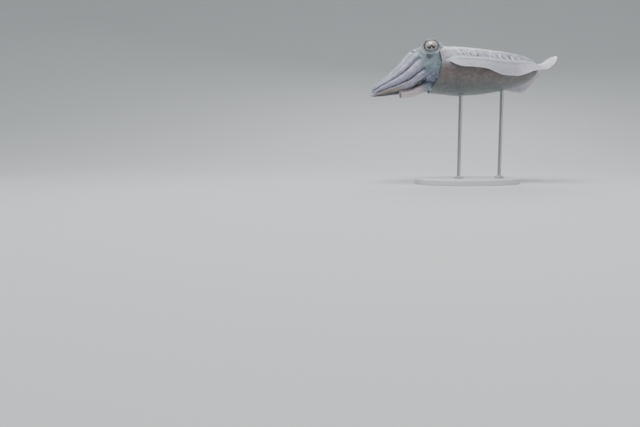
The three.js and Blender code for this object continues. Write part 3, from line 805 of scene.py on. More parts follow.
def make_bore():
    share = np.linspace(1 - BORE_DEPTH, 1, BORE_STEPS)
    rows = funnel_rings(share, FUNNEL_BORE * lerp(BORE_BOTTOM, 1, np.sqrt((share - share[0]) / BORE_DEPTH)))
    ahead = unit(rows[-1].mean(0) - rows[-2].mean(0))
    rows = np.concatenate([rows, rows[-1:] + BORE_EXIT * ahead])
    remember(rows, back=FUNNEL_BACKNESS, funnel=1, inner=BORE_PALENESS)
    return tube_object("funnel_bore", rows)


# The skin: the mantle with its fins, and the head with its arms, joined into one surface
FRONT_VOXEL = 0.62
FRONT_SMOOTHING = 4
# Smoothing where the arms leave the crown: passes, place ahead of the crown, spread and the
# distances from an eye between which it sets in
CROWN_SMOOTHING = 40
CROWN_AHEAD = 2
CROWN_SPREAD = 13
CROWN_CLEAR = (18.5, 22)
# Smoothing round the brow: passes, and the distances from an eye where it sets in and ends
BROW_SMOOTHING = 130
BROW_BASE = (18.5, 22, 29, 36)


def make_front():
    parts = [make_arm(pair, side) for side in SIDES.values() for pair in ARM_PAIRS]
    parts += [make_web(), make_funnel()]
    for side in SIDES.values():
        axes = eye_axes(side, MOUND_LIFT)
        parts.append(make_brow(side))
        parts.append(ball("mound", MOUND, axes, eye_centre(side) - axes[2] * MOUND_DEPTH))
    front = combined(make_head(), "UNION", parts)
    hollows = [make_bore()]
    for side in SIDES.values():
        hollows.append(make_hollow(side))
        hollows.append(ball("socket", [EYE_RADIUS] * 3, eye_axes(side), eye_centre(side)))
    combined(front, "DIFFERENCE", hollows)
    applied(front, "remesh", "REMESH", mode="VOXEL", voxel_size=FRONT_VOXEL * MM)
    keep_largest(front)
    applied(front, "smooth", "SMOOTH", factor=0.5, iterations=FRONT_SMOOTHING)
    places = to_animal(coordinates(front))
    orbit = np.min([from_eye(places, side) for side in SIDES.values()], axis=0)
    ahead = unit(np.array([-math.cos(CROWN_TILT), 0, -math.sin(CROWN_TILT)]))
    crown = bell((places - CROWN) @ ahead - CROWN_AHEAD, CROWN_SPREAD)
    blend(front, crown * smoothstep(orbit, *CROWN_CLEAR), CROWN_SMOOTHING)
    blend(front, band(orbit, *BROW_BASE), BROW_SMOOTHING)
    return front


def neighbours_mean(data, values, passes):
    """Values smoothed over the mesh's edges."""
    edges = np.zeros(len(data.edges) * 2, np.int32)
    data.edges.foreach_get("vertices", edges)
    a, b = edges.reshape(-1, 2).T
    count = np.bincount(a, minlength=len(values)) + np.bincount(b, minlength=len(values)) + 1.0
    for _ in range(passes):
        total = values.copy()
        for k in range(values.shape[1]):
            total[:, k] += np.bincount(a, values[b, k], len(values))
            total[:, k] += np.bincount(b, values[a, k], len(values))
        values = total / count[:, None]
    return values


def carry_marks(skin):
    """Gives every point of the skin the marks of the shapes nearest to it, and its place."""
    places = to_animal(coordinates(skin))
    source = nearest(np.concatenate(marked_points), places)[0]
    marks = neighbours_mean(skin.data, np.concatenate(marked_values)[source], MARK_PASSES)
    for name, values in zip(MARKS, marks.T):
        store(skin, name, values)
    store(skin, "place", places * MM)
    for name, values in zip(("pale", "dark"), uneven_marks(places)):
        store(skin, name, values)
    return places, dict(zip(MARKS, marks.T))


# Streaks on both flanks, in millimetres: x and z of the middle, half length, half height, and
# how far the top leans to the front
PALE_STREAKS = (
    (36, 17, 3.4, 13, 4),
    (44.5, 18, 2.4, 12, 4),
    (52, 16, 3.8, 14, 4),
    (60, 17, 3.0, 13, 4),
    (68, 17, 3.2, 12, 3),
    (84, 20, 1.6, 8, 2),
    (103, 13, 4.2, 13, -1),
    (110, 14, 3.2, 11, 2),
    (127, 9, 3.8, 8, 2),
    (141, 8, 3.4, 9, 1),
    (155, 7, 4.6, 8, 0),
    (171, 9, 2.6, 6, 2),
)
DARK_STREAKS = (
    (-1, 15, 1.6, 13, 1),
    (6, 15, 1.6, 13, 1),
    (40.5, 16, 1.9, 12, 4),
    (48.5, 16, 2.0, 12, 4),
    (56.5, 16, 2.1, 12, 4),
    (74, 8, 4.6, 6, 0),
    (90, 22, 1.8, 7, 2),
    (133, 6, 3.2, 6, 2),
    (148, 8, 3.4, 7, 1),
    (163, 9, 2.0, 6, 1),
)
# A painted shadow under each eye, laid in with the dark streaks
UNDER_EYE_SHADOW = (-28, 12, 14, 10, 0)
# Size and reach of the wandering that makes the streaks uneven
WANDER = (8, 3.2)
# Lid colours: distance from the opening's edge, width, and strength above and below the eye
LID_PALE = ((1.7, 0.9, 0.0, 0.5),)
LID_DARK = ((-0.3, 0.9, 1.0, 0.8), (3.0, 2.4, 0.8, 0.0), (4.4, 1.0, 0.0, 0.4))
LID_REGION = 1.5


def streak(places, x, z, half_length, half_height, lean):
    """1 along the middle of a leaning streak with pointed ends, and 0 outside it."""
    up = (places[:, 2] - z) / half_height
    along = np.abs(places[:, 0] - x + lean * up)
    taper = np.sqrt(np.maximum(1e-4, 1 - up**2))
    return np.where(np.abs(up) < 1, np.clip(1 - along / (half_length * taper), 0, 1), 0)


def uneven_marks(places):
    """How pale and how dark the streaks, the lids' own colours and the painted shadow under each eye make
    each place.
    """
    size, reach = WANDER
    noise.seed_set(SEED)
    drifted = places + reach * sampled(noise.noise_vector, places, size)
    results = []
    for streaks, lids in ((PALE_STREAKS, LID_PALE), ((*DARK_STREAKS, UNDER_EYE_SHADOW), LID_DARK)):
        strength = np.max([streak(drifted, *entry) for entry in streaks], axis=0)
        for side in SIDES.values():
            near = from_eye(places, side) < LID_REGION * EYE_RADIUS
            distance, upper = lid_place(side, places[near])
            for place, width, above, below in lids:
                tint = bell(distance - place, width) * lerp(below, above, upper)
                strength[near] = np.maximum(strength[near], tint)
        results.append(strength)
    return results


# Relief: an uneven skin, with small raised papillae over the back, head and upper arms
UNEVEN = ((0.35, 22), (0.16, 7))
# Where the fins grow smooth, and the share of the relief that the funnel loses
FIN_CALM = (0.02, 0.2)
FUNNEL_CALM = 0.8
PAPILLA_TRIES = 5200
PAPILLA_SPACING = 7.5
PAPILLA_HEIGHT = 0.75
PAPILLA_RADIUS = 1.9
PAPILLA_SIZES = (0.5, 1.2)
PAPILLA_BACKNESS = (0.5, 0.75)
# Wrinkles round the eye: height, spacing, waviness, region in eye radii, and the distances
# outside the opening between which they begin and fade
WRINKLE_HEIGHT = 0.3
WRINKLE_SPACING = 2.5
WRINKLE_WAVES = 8
WRINKLE_REGION = 2.4
WRINKLE_BAND = (9, 12, 16, 24)


def papillae(places, grows):
    """The height of papillae that stand at random where they grow, each clear of the others."""
    random = np.random.default_rng(SEED)
    chosen = []
    for k in random.integers(0, len(places), PAPILLA_TRIES).tolist():
        if random.uniform() > grows[k]:
            continue
        if chosen and min(np.linalg.norm(places[k] - places[chosen], axis=1)) < PAPILLA_SPACING:
            continue
        chosen.append(k)
    index, distance = nearest(places[chosen], places)
    size = random.uniform(*PAPILLA_SIZES, len(chosen))[index]
    return PAPILLA_HEIGHT * size * bell(distance, PAPILLA_RADIUS * size) * grows


def add_relief(skin, places, marks):
    normals = np.zeros(len(places) * 3, np.float32)
    skin.data.vertex_normals.foreach_get("vector", normals)
    calm = (1 - smoothstep(marks["fin"], *FIN_CALM)) * (1 - marks["inner"])
    calm = calm * (1 - FUNNEL_CALM * marks["funnel"])
    height = sum(depth * sampled(noise.noise, places, size) for depth, size in UNEVEN)
    height = height + papillae(places, smoothstep(marks["back"], *PAPILLA_BACKNESS) * calm)
    for side in SIDES.values():
        near = from_eye(places, side) < WRINKLE_REGION * EYE_RADIUS
        distance = lid_place(side, places[near])[0]
        bend = sampled(noise.noise, places[near], WRINKLE_WAVES)
        wrinkle = np.sin(2 * np.pi * (distance / WRINKLE_SPACING + bend))
        height[near] += WRINKLE_HEIGHT * band(distance, *WRINKLE_BAND) * wrinkle
    raised = coordinates(skin) + normals.reshape(-1, 3) * (height * calm * MM)[:, None]
    skin.data.vertices.foreach_set("co", raised.astype(np.float32).ravel())
    skin.data.update()


def make_skin():
    rear = combined(make_mantle(), "UNION", [make_fin(name) for name in SIDES])
    skin = combined(rear, "UNION", [make_front()])
    skin.name = "skin"
    skin.data.name = "skin"
    skin.data.shade_smooth()
    add_relief(skin, *carry_marks(skin))
    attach(skin, "root")
    flesh = [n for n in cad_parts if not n.startswith(("eye_", "stand_"))]
    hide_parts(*flesh)
    return skin


# Eyes
EYE_STEPS = 160
EYE_CLEARANCE = 0.15
# The pupil's W in eye radii: half width, spacing and rise of its bends, its drop below the
# middle, and its half thickness at its ends, bends and peak
PUPIL_HALF_WIDTH = 0.46
PUPIL_PERIOD = 0.55
PUPIL_RISE = 0.14
PUPIL_DROP = -0.22
PUPIL_THICKNESS = ((0, 0.055), (0.26, 0.12), (0.47, 0.075))
PUPIL_STEPS = 81
# The rays of the iris: how long they are against their width, and the least radius they have
RAY_LENGTH = 0.5
RAY_MIDDLE = 0.02


def make_eye(name):
    side = SIDES[name]
    axes = eye_axes(side)
    made = ball("eyeball_" + name, [EYE_RADIUS - EYE_CLEARANCE] * 3, axes, eye_centre(side), EYE_STEPS)
    local = (to_animal(coordinates(made)) - eye_centre(side)) @ np.array(axes).T / EYE_RADIUS
    forward, upward, outward = local.T
    distance = np.ones(len(forward))
    for x in np.linspace(-PUPIL_HALF_WIDTH, PUPIL_HALF_WIDTH, PUPIL_STEPS):
        y = PUPIL_DROP + PUPIL_RISE * math.cos(x / PUPIL_PERIOD * 2 * math.pi)
        thickness = eased(PUPIL_THICKNESS, abs(x))
        distance = np.minimum(distance, np.hypot(forward - x, upward - y) - thickness)
    radius = np.hypot(forward, upward)
    away = np.maximum(radius, RAY_MIDDLE)
    store(made, "pupil", np.where(outward > 0, distance, 1))
    store(made, "radius", radius)
    store(made, "upward", upward)
    store(made, "ray", vector(forward / away, upward / away, RAY_LENGTH * radius))
    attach(made, "root")
    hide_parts("eye_" + name)
    return made


# Suckers: four rows of little cups along the inner face of every arm
SUCKER_STEPS = 46
SUCKER_ROWS = (-0.72, -0.24, 0.24, 0.72)
SUCKER_SIDES = 10
# Where they start along the bundle and end along the arm
SUCKER_RUN = (0.05, 0.97)
# Radius as a share of the inner face's width, how much it varies, and the least radius
SUCKER_SHARE = 0.105
SUCKER_VARIETY = 0.15
SUCKER_LEAST = 0.28
INNER_CORNER = 0.8
# Radius and height of each ring of a cup of radius 1, from its foot over its rim to its inside
SUCKER_PROFILE = ((0.55, -0.9), (0.7, 0.0), (1.0, 0.45), (0.96, 0.7), (0.7, 0.62), (0.45, 0.1))
# A direction that no arm's inner face looks in, which sets how each cup is turned
SUCKER_TURN = (1.0, 0.3, 0.2)


def cup_shape():
    """Points and faces of a cup of radius 1 that opens upwards."""
    turn = circle(SUCKER_SIDES)
    points, faces = tube([vector(r * np.cos(turn), r * np.sin(turn), h) for r, h in SUCKER_PROFILE])
    points[-1] = 0
    return points, faces


def placed_cup(cup, arm, side, s, across, variety):
    """A cup's points on an arm's inner face, where across runs over the face from -1 to 1."""
    depth = (1 - abs(across) ** ARM_SQUARENESS) ** (1 / ARM_SQUARENESS)
    seat = arm_point(arm, side, s, across, -depth)
    left, right = (arm_point(arm, side, s, edge, -INNER_CORNER) for edge in (-INNER_CORNER, INNER_CORNER))
    radius = max(SUCKER_LEAST, np.linalg.norm(right - left) * SUCKER_SHARE * variety)
    inward = unit(bundle_point(s, side, 0, 0) - seat)
    first = unit(np.cross(inward, SUCKER_TURN))
    return seat + radius * (cup @ np.array([first, np.cross(inward, first), inward]))


def make_suckers():
    random = np.random.default_rng(SEED)
    cup, cup_faces = cup_shape()
    points, faces = [], []
    places = itertools.product(ARM_PAIRS.values(), SIDES.values(), range(SUCKER_STEPS), range(4))
    for arm, side, step, row in places:
        share = (step + 0.5 * (row % 2)) / SUCKER_STEPS
        s = np.array(lerp(SUCKER_RUN[0], arm["length"] * SUCKER_RUN[1], share))
        variety = 1 + SUCKER_VARIETY * random.uniform(-1, 1)
        base = len(points)
        points.extend(placed_cup(cup, arm, side, s, SUCKER_ROWS[row], variety))
        faces += [tuple(base + k for k in face) for face in cup_faces]
    made = mesh_object("suckers", points, faces)
    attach(made, "root")
    return made


# Stand: an oval plate with rounded edges and two round rods, each on a flat foot
PLATE_SIZE = (118, 75, 12)
PLATE_EDGE = 2.2
PLATE_UNDER_EDGE = 1
PLATE_AROUND = 160
ROD_RADIUS = 4
ROD_AROUND = 48
ROD_FOOT = (10, 4)
ROD_EDGE = 0.8
ROD_FILLET = 1.2
ROD_SEAT = 0.1
# Each rod's place along the body and the height of its top above the floor
RODS = {"front": (58, 214), "rear": (152, 218)}
CORNER_STEPS = 6


def corner(radius, height, size, start, end):
    """Profile points round a rounded corner about a centre, with turns in degrees."""
    turns = [math.radians(lerp(start, end, k / CORNER_STEPS)) for k in range(CORNER_STEPS + 1)]
    return [(radius + size * math.cos(turn), height + size * math.sin(turn)) for turn in turns]


def lathe(name, profile, around, centre, stretch):
    """A closed shape of profile points of radius and height, in millimetres above the floor."""
    turn = circle(around)
    rows = [vector(centre + (stretch + r) * np.cos(turn), r * np.sin(turn), z) for r, z in profile]
    points, faces = tube(rows)
    return mesh_object(name, to_animal(points * MM), faces)


def make_plate():
    half_length, half_width, thickness = PLATE_SIZE
    under = PLATE_UNDER_EDGE
    profile = corner(half_width - under, under, under, -90, 0)
    profile += corner(half_width - PLATE_EDGE, thickness - PLATE_EDGE, PLATE_EDGE, 0, 90)
    plate = lathe("stand_plate", profile, PLATE_AROUND, 0, half_length - half_width)
    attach(plate, "root")
    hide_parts("stand_base")
    return plate


def make_rod(name):
    x, top = RODS[name]
    foot, thickness = ROD_FOOT
    low, high = PLATE_SIZE[2] + ROD_SEAT, PLATE_SIZE[2] + thickness
    profile = [(foot, low), *corner(foot - ROD_EDGE, high - ROD_EDGE, ROD_EDGE, 0, 90)]
    profile += corner(ROD_RADIUS + ROD_FILLET, high + ROD_FILLET, ROD_FILLET, 270, 180)
    profile += corner(ROD_RADIUS - ROD_EDGE, top - ROD_EDGE, ROD_EDGE, 0, 90)
    rod = lathe("stand_rod_" + name + "_skin", profile, ROD_AROUND, x - BASE_CENTRE_X, 0)
    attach(rod, "root")
    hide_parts("stand_rod_" + name)
    return rod


# Materials
def new_material(name, color, roughness, **inputs):
    material = bpy.data.materials.new(name)
    material.use_nodes = True
    surface = material.node_tree.nodes["Principled BSDF"]
    surface.inputs["Base Color"].default_value = (*color, 1)
    surface.inputs["Roughness"].default_value = roughness
    for key, value in inputs.items():
        surface.inputs[key.replace("_", " ")].default_value = value
    return material


class Paint:
    """Adds nodes to a material; sockets and plain numbers can be mixed freely."""

    def __init__(self, material):
        self.tree = material.node_tree
        self.surface = self.tree.nodes["Principled BSDF"]

    def put(self, socket, value):
        if isinstance(value, bpy.types.NodeSocket):
            self.tree.links.new(value, socket)
        elif socket.type == "RGBA":
            socket.default_value = (*value, 1)
        else:
            socket.default_value = value

    def give(self, name, value):
        self.put(self.surface.inputs[name], value)

    def node(self, kind, output, inputs=(), **settings):
        """One output of a new node with its settings, whose inputs go by number or name."""
        made = self.tree.nodes.new("ShaderNode" + kind)
        for key, value in settings.items():
            setattr(made, key, value)
        for key, value in dict(inputs).items():
            self.put(made.inputs[key], value)
        return made.outputs[output]

    def mark(self, name, output="Fac"):
        return self.node("Attribute", output, attribute_name=name)

    def math(self, operation, a, b):
        return self.node("Math", 0, {0: a, 1: b}, operation=operation)

    def times(self, first, *others):
        for other in others:
            first = self.math("MULTIPLY", first, other)
        return first

    def fade(self, value, start, end, low=0.0, high=1.0):
        """Eases from low to high while the value goes from start to end."""
        inputs = enumerate((value, start, end, low, high))
        return self.node("MapRange", 0, inputs, interpolation_type="SMOOTHSTEP")

    def over(self, color, tint, *shares, blend="MIX"):
        """A color with a tint laid over it by the product of the shares."""
        inputs = {0: self.times(*shares), 6: color, 7: tint}
        return self.node("Mix", 2, inputs, data_type="RGBA", blend_type=blend)

    def layered(self, color, layers, sources):
        """A color under layers of tint, each shown by its strength and its fades."""
        for tint, strength, *fades in layers:
            shares = [strength]
            for name, *ends in fades:
                value = sources[name] if name in sources else self.mark(name)
                shares.append(self.fade(value, *ends) if ends else value)
            color = self.over(color, sources.get(tint, tint), *shares)
        return color

    def stretched(self, place, factors):
        return self.node("VectorMath", 0, {0: place, 1: factors}, operation="MULTIPLY")

    def noise(self, place, size, detail=2.0, roughness=0.5, distortion=0.0):
        inputs = dict(Vector=place, Scale=1 / size, Detail=detail, Roughness=roughness)
        inputs["Distortion"] = distortion
        return self.node("TexNoise", 0, inputs)

    def cells(self, place, size, feature="F1"):
        return self.node("TexVoronoi", "Distance", dict(Vector=place, Scale=1 / size), feature=feature)

    def bump(self, height, distance, strength, *below):
        """The surface raised by a height, on top of another bump if one is given."""
        inputs = dict(Strength=strength, Distance=distance, Height=height)
        inputs.update({"Normal": normal for normal in below})
        return self.node("Bump", 0, inputs)


# Colours of the skin
BACK_COLOR = (0.36, 0.43, 0.49)
BACK_LILAC = (0.44, 0.38, 0.46)
FLANK_COLOR = (0.29, 0.30, 0.35)
# The belly's own dark tone, deepened as painted shade of the underside
BELLY_TONE_AND_SHADE = (0.075, 0.095, 0.095)
BELLY_BROWN = (0.20, 0.15, 0.14)
PALE_COLOR = (0.80, 0.82, 0.84)
HEAD_COLOR = (0.19, 0.24, 0.275)
HEAD_LOW_COLOR = (0.17, 0.185, 0.29)
ARM_COLOR = (0.34, 0.33, 0.43)
ARM_BACK_COLOR = (0.37, 0.44, 0.50)
ARM_LOW_COLOR = (0.27, 0.21, 0.15)
# Painted shade on the undersides of the lowest arms
ARM_UNDER_SHADE = (0.09, 0.09, 0.10)
FIN_COLOR = (0.48, 0.46, 0.54)
FUNNEL_COLOR = (0.60, 0.50, 0.53)
SPOT_COLOR = (0.06, 0.06, 0.065)
# Painted shade in the grooves between the arms and inside the mantle's opening
GROOVE_SHADE_COLOR = (0.07, 0.08, 0.11)
RIM_COLOR = (0.72, 0.75, 0.79)

# Layers of colour from the bottom up. Each has its tint, its strength, and the fades whose
# product shows it: what is read, where the fade starts and ends, and any low and high of it.
# The level runs from 0 along the belly to 1 along the back, and the darkening towards the belly
# is partly painted shade of the underside
MANTLE_LAYERS = (
    (BELLY_BROWN, 1.0, ("cloud", 0.3, 0.7, 0.6, 1.0), ("level", -0.05, 0.38)),
    (FLANK_COLOR, 1.0, ("level", 0.34, 0.53)),
    ("upper", 1.0, ("level", 0.47, 0.6)),
)
HEAD_LAYERS = (
    (BACK_COLOR, 1.0, ("level", 0.5, 0.9)),
    (HEAD_LOW_COLOR, 1.0, ("level", 0.36, 0.2)),
    (PALE_COLOR, 0.7, ("speckles", 0.38, 0.15), ("level", 0.36, 0.2)),
)
ARM_LAYERS = (
    (ARM_BACK_COLOR, 1.0, ("level", 0.74, 0.82)),
    (ARM_LOW_COLOR, 0.85, ("level", 0.27, 0.24), ("run", 0.35, 0.55), ("run", 0.98, 0.8)),
    # Painted shade under the lowest arms
    (ARM_UNDER_SHADE, 1.0, ("level", 0.2, 0.12)),
    (RIM_COLOR, 0.35, ("groove", 0.02, 0.2), ("level", 0.5, 0.65)),
)
STREAK_LAYERS = (
    ("head", 1.0, ("head mark",)),
    ("arm", 1.0, ("arm mark",)),
    (HEAD_COLOR, 0.55, ("warped", 0.46, 0.36), ("back", 0.66, 0.8), ("arm mark", 0.0, 0.5, 1.0, 0.3)),
    (PALE_COLOR, 0.5, ("warped", 0.54, 0.66), ("back", 0.66, 0.8), ("arm mark", 0.0, 0.5, 1.0, 0.3)),
    # The dark marks include the painted shadow under each eye
    (SPOT_COLOR, 0.75, ("dark", 0.15, 0.8)),
    (PALE_COLOR, 0.85, ("pale", 0.1, 0.9)),
)
TOP_LAYERS = (
    (PALE_COLOR, 1.0, ("inner",)),
    # Painted shade in the grooves between the arms and inside the mantle's opening
    (GROOVE_SHADE_COLOR, 0.8, ("groove",)),
    (FUNNEL_COLOR, 1.0, ("funnel",)),
    ("rays", 1.0, ("fin", 0.05, 0.3)),
    (HEAD_COLOR, 0.35, ("fin", 0.07, 0.13), ("fin", 0.3, 0.16)),
    (RIM_COLOR, 0.8, ("fin", 0.0, 0.03), ("fin", 0.1, 0.06)),
    (RIM_COLOR, 1.0, ("edge",)),
    (SPOT_COLOR, 1.0, ("dots", 0.36, 0.15), ("dot groups", 0.4, 0.65, 0.15, 0.5), ("edge", 0.8, 0.2)),
    (SPOT_COLOR, 1.0, ("specks", 0.34, 0.15), ("speck groups", 0.4, 0.65, 0.15, 0.35), ("edge", 0.8, 0.2)),
)

# Noises of the skin: size in metres, detail, roughness and any distortion
CLOUD = (0.018, 4, 0.6)
SWAY = (0.012, 3, 0.6)
STREAK_EDGE = (0.005, 4, 0.6)
BACK_STREAK = (0.009, 3, 0.55, 1.2)
RAY_NOISE = (1.0, 3, 0.6)
GLOSS = (0.004, 3)
FINE_GRAIN = (0.0010, 4, 0.65)
GRAIN = (0.0032, 4, 0.6)
# How far the noise sways the levels and wanders the edges of the streaks
SWAY_REACH = 0.12
STREAK_REACH = 1.1
STREAK_EDGE_FADE = (0.0, 0.25)
STREAK_STRETCH = (1.0, 0.35, 0.4)
# Sizes in metres of the cells that make dots, and of the groups they stand in
CELLS = {"speckles": 0.0042, "dots": 0.0018, "specks": 0.0009}
GROUPS = {"dot groups": 0.009, "speck groups": 0.006}
PORE_SIZE = 0.0026
# Size in metres and the darkest and lightest factor of each size of blotch
BLOTCHES = ((0.011, 0.82, 1.2), (0.0038, 0.86, 1.15), (0.0014, 0.88, 1.12))
BLOTCH_CONTRAST = (0.3, 0.7)
LILAC_CONTRAST = (0.36, 0.64)
RAY_CONTRAST = (0.35, 0.65, 0.6, 1.0)
FIN_RAYS = 190.0
RAY_BREAKS = 1.5


def swayed(paint, place, kind, reach):
    """A noise about 0, as far to both sides as its reach."""
    return paint.times(paint.math("SUBTRACT", paint.noise(place, *kind), 0.5), reach)


def mottled(paint, place, color):
    """Blotches of three sizes, lighter and darker than the color under them."""
    for size, low, high in BLOTCHES:
        shade = paint.fade(paint.noise(place, size, 3, 0.6), *BLOTCH_CONTRAST, low, high)
        grey = paint.node("CombineColor", 0, {0: shade, 1: shade, 2: shade})
        color = paint.over(color, grey, 1.0, blend="MULTIPLY")
    return color


def fin_rays(paint):
    """Fine uneven lines that run from a fin's root to its edge."""
    inputs = {0: paint.times(paint.mark("run"), FIN_RAYS), 1: paint.times(paint.mark("fin"), RAY_BREAKS)}
    return paint.noise(paint.node("CombineXYZ", 0, inputs), *RAY_NOISE)


def skin_sources(paint, place):
    """What the layers read besides the marks, and the colours that they mix in."""
    cloud = paint.noise(place, *CLOUD)
    wander = swayed(paint, place, STREAK_EDGE, STREAK_REACH)
    sources = {
        "cloud": cloud,
        "level": paint.math("ADD", paint.mark("back"), swayed(paint, place, SWAY, SWAY_REACH)),
        "warped": paint.noise(paint.stretched(place, STREAK_STRETCH), *BACK_STREAK),
        "upper": paint.over(BACK_COLOR, BACK_LILAC, paint.fade(cloud, *LILAC_CONTRAST)),
        "rays": paint.over(FLANK_COLOR, FIN_COLOR, paint.fade(fin_rays(paint), *RAY_CONTRAST)),
        "head mark": paint.mark("head"),
        "arm mark": paint.mark("arm"),
    }
    for name, size in CELLS.items():
        sources[name] = paint.cells(place, size)
    for name, size in GROUPS.items():
        sources[name] = paint.noise(place, size)
    for name in ("dark", "pale"):
        own = paint.mark(name)
        edge = paint.times(wander, paint.fade(own, *STREAK_EDGE_FADE))
        sources[name] = paint.math("ADD", own, edge)
    return sources


def skin_color(paint, place):
    sources = skin_sources(paint, place)
    color = paint.layered(BELLY_TONE_AND_SHADE, MANTLE_LAYERS, sources)
    sources["head"] = paint.layered(HEAD_COLOR, HEAD_LAYERS, sources)
    sources["arm"] = paint.layered(ARM_COLOR, ARM_LAYERS, sources)
    color = mottled(paint, place, paint.layered(color, STREAK_LAYERS, sources))
    return paint.layered(color, TOP_LAYERS, sources)


def skin_material():
    """Wet skin, clearer in the fins, with grain, pores and the fins' rays raised on it."""
    scatter = dict(Subsurface_Radius=(0.004, 0.0025, 0.0018), Subsurface_Scale=1.0)
    material = new_material("skin", BACK_COLOR, 0.42, Coat_Weight=0.35, Coat_Roughness=0.2, **scatter)
    paint = Paint(material)
    place = paint.mark("place", "Vector")
    fine = paint.bump(paint.noise(place, *FINE_GRAIN), 0.0005, 0.7)
    grain = paint.bump(paint.noise(place, *GRAIN), 0.0016, 0.6, fine)
    pores = paint.bump(paint.cells(place, PORE_SIZE, "SMOOTH_F1"), 0.0007, 0.5, grain)
    on_fin = paint.times(fin_rays(paint), paint.fade(paint.mark("fin"), 0.1, 0.4))
    rays = paint.bump(on_fin, 0.0008, 0.35, pores)
    paint.give("Base Color", skin_color(paint, place))
    paint.give("Subsurface Weight", paint.fade(paint.mark("fin"), 0.1, 0.6, 0.15, 0.4))
    paint.give("Roughness", paint.fade(paint.noise(place, *GLOSS), 0.3, 0.7, 0.34, 0.56))
    paint.give("Normal", rays)
    paint.give("Coat Normal", rays)
    return material


# Colours of the eye, and its layers from the bottom up, read across and up the eyeball
IRIS_COLOR = (0.46, 0.46, 0.45)
IRIS_SHADE = (0.15, 0.17, 0.17)
IRIS_PINK_AND_GLARE = (0.60, 0.46, 0.47)
IRIS_GOLD = (0.30, 0.24, 0.13)
PUPIL_COLOR = (0.003, 0.003, 0.004)
IRIS_RAYS = (0.09, 4, 0.65, 0.4)
EYE_LAYERS = (
    (IRIS_COLOR, 1.0, ("streaks", 0.32, 0.68)),
    # Painted glare over the upper half, on the iris's own pinkish tone, and painted shade over the lower
    # half
    (IRIS_PINK_AND_GLARE, 0.75, ("upward", 0.05, 0.5)),
    (IRIS_SHADE, 0.6, ("upward", -0.35, -0.6)),
    (SPOT_COLOR, 1.0, ("radius", 0.78, 0.93)),
    (IRIS_GOLD, 0.4, ("pupil", 0.09, 0.02)),
    (PUPIL_COLOR, 1.0, ("pupil", 0.014, -0.008)),
)


def eye_material():
    """A silvery iris streaked outwards, pinkish above with a painted glare, darkened below by painted
    shade, gold by the pupil and dark at its rim.
    """
    material = new_material("eye", IRIS_COLOR, 0.22, Coat_Weight=1.0, Coat_Roughness=0.02)
    paint = Paint(material)
    sources = {"streaks": paint.noise(paint.mark("ray", "Vector"), *IRIS_RAYS)}
    paint.give("Base Color", paint.layered(IRIS_SHADE, EYE_LAYERS, sources))
    return material


def sucker_material():
    return new_material("sucker", (0.78, 0.78, 0.77), 0.35, Coat_Weight=0.3)


def plate_material():
    """Matt paint with a fine grain."""
    material = new_material("stand_plate", (0.62, 0.64, 0.65), 0.42, Coat_Weight=0.2)
    paint = Paint(material)
    place = paint.node("TexCoord", "Object")
    paint.give("Normal", paint.bump(paint.noise(place, 0.0015), 0.0001, 0.5))
    return material


def rod_material():
    """Steel brushed along the rod."""
    material = new_material("stand_rod", (0.60, 0.61, 0.62), 0.3, Metallic=1.0)
    paint = Paint(material)
    place = paint.node("TexCoord", "Object")
    lines = paint.noise(paint.stretched(place, (1.0, 1.0, 0.02)), 0.0005, 3)
    paint.give("Roughness", paint.fade(lines, 0.3, 0.7, 0.24, 0.42))
    paint.give("Normal", paint.bump(lines, 0.00006, 0.5))
    return material


# Camera, at the photograph's height, distance and direction
CAMERA_PLACE = (-0.5083, -1.3242, 0.0987)
CAMERA_YAW = math.radians(7.688)
CAMERA_PITCH = math.radians(-6.845)
CAMERA_LENS = 35

# Stage and light
FLOOR_COLOR = (0.60, 0.62, 0.63)
FLOOR_ROUGHNESS = 0.9
STAGE_CENTRE = (-0.3, -1.6)
STAGE_SIDES = 96
FLOOR_RADIUS = 2.1
FLOOR_RINGS = (0.01, 0.3, 0.65, 1.0)
BEND_LENGTH = 3.6
BEND_STEPS = 40
BEND_TIGHTENING = 1.4
WALL_HEIGHT = 2.5
WORLD_COLOR = (0.86, 0.90, 0.92, 1)
WORLD_STRENGTH = 0.45
# Place, size and power of each light
LIGHTS = {
    "key": ((-0.5, -0.6, 1.9), 1.1, 46),
    "fill": ((1.4, -1.6, 0.9), 1.6, 7),
    "rim": ((0.4, 1.3, 1.5), 1.0, 16),
}


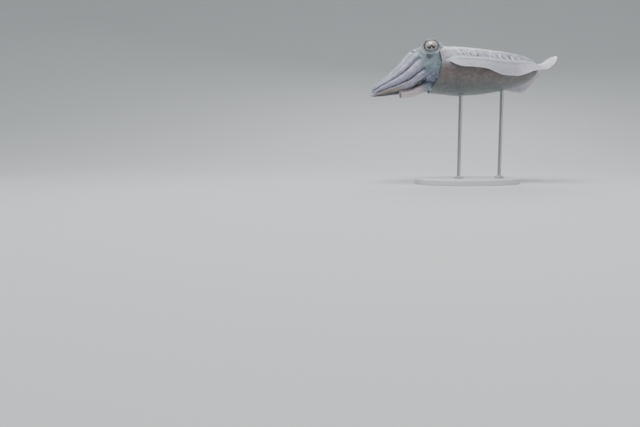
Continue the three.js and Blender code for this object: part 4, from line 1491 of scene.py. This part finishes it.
def add_camera():
    data = bpy.data.cameras.new("camera")
    data.lens = CAMERA_LENS
    camera = add_object("camera", data)
    camera.location = CAMERA_PLACE
    camera.rotation_euler = (math.pi / 2 + CAMERA_PITCH, 0, -CAMERA_YAW)
    bpy.context.scene.camera = camera


def add_stage():
    """A round floor that rises into the backdrop by a curve that tightens slowly."""
    radius, height = FLOOR_RADIUS, 0.0
    profile = [(FLOOR_RADIUS * share, 0.0) for share in FLOOR_RINGS]
    for k in range(BEND_STEPS):
        slope = math.pi / 2 * ((k + 0.5) / BEND_STEPS) ** BEND_TIGHTENING
        radius += BEND_LENGTH / BEND_STEPS * math.cos(slope)
        height += BEND_LENGTH / BEND_STEPS * math.sin(slope)
        profile.append((radius, height))
    profile.append((radius, height + WALL_HEIGHT))
    x, y = STAGE_CENTRE
    turn = circle(STAGE_SIDES)
    points, faces = tube([vector(x + r * np.cos(turn), y + r * np.sin(turn), z) for r, z in profile])
    top = len(points) - 1
    data = bpy.data.meshes.new("floor")
    data.from_pydata(points[:top].tolist(), [], [face for face in faces if top not in face])
    data.shade_smooth()
    floor = add_object("floor", data)
    data.materials.append(new_material("floor", FLOOR_COLOR, FLOOR_ROUGHNESS))


def add_lights():
    world = bpy.data.worlds.new("world")
    world.use_nodes = True
    background = world.node_tree.nodes["Background"]
    background.inputs["Color"].default_value = WORLD_COLOR
    background.inputs["Strength"].default_value = WORLD_STRENGTH
    bpy.context.scene.world = world
    target = Vector((0, 0, AXIS_HEIGHT * MM))
    for name, (place, size, power) in LIGHTS.items():
        data = bpy.data.lights.new(name, "AREA")
        data.size = size
        data.energy = power
        light = add_object(name, data)
        light.location = place
        light.rotation_euler = (target - Vector(place)).to_track_quat("-Z", "Y").to_euler()


add_camera()
skin = make_skin()
skin.data.materials.clear()
skin.data.materials.append(skin_material())
eye_finish = eye_material()
for name in SIDES:
    make_eye(name).data.materials.append(eye_finish)
make_suckers().data.materials.append(sucker_material())
make_plate().data.materials.append(plate_material())
rod_finish = rod_material()
for name in RODS:
    make_rod(name).data.materials.append(rod_finish)
add_stage()
add_lights()
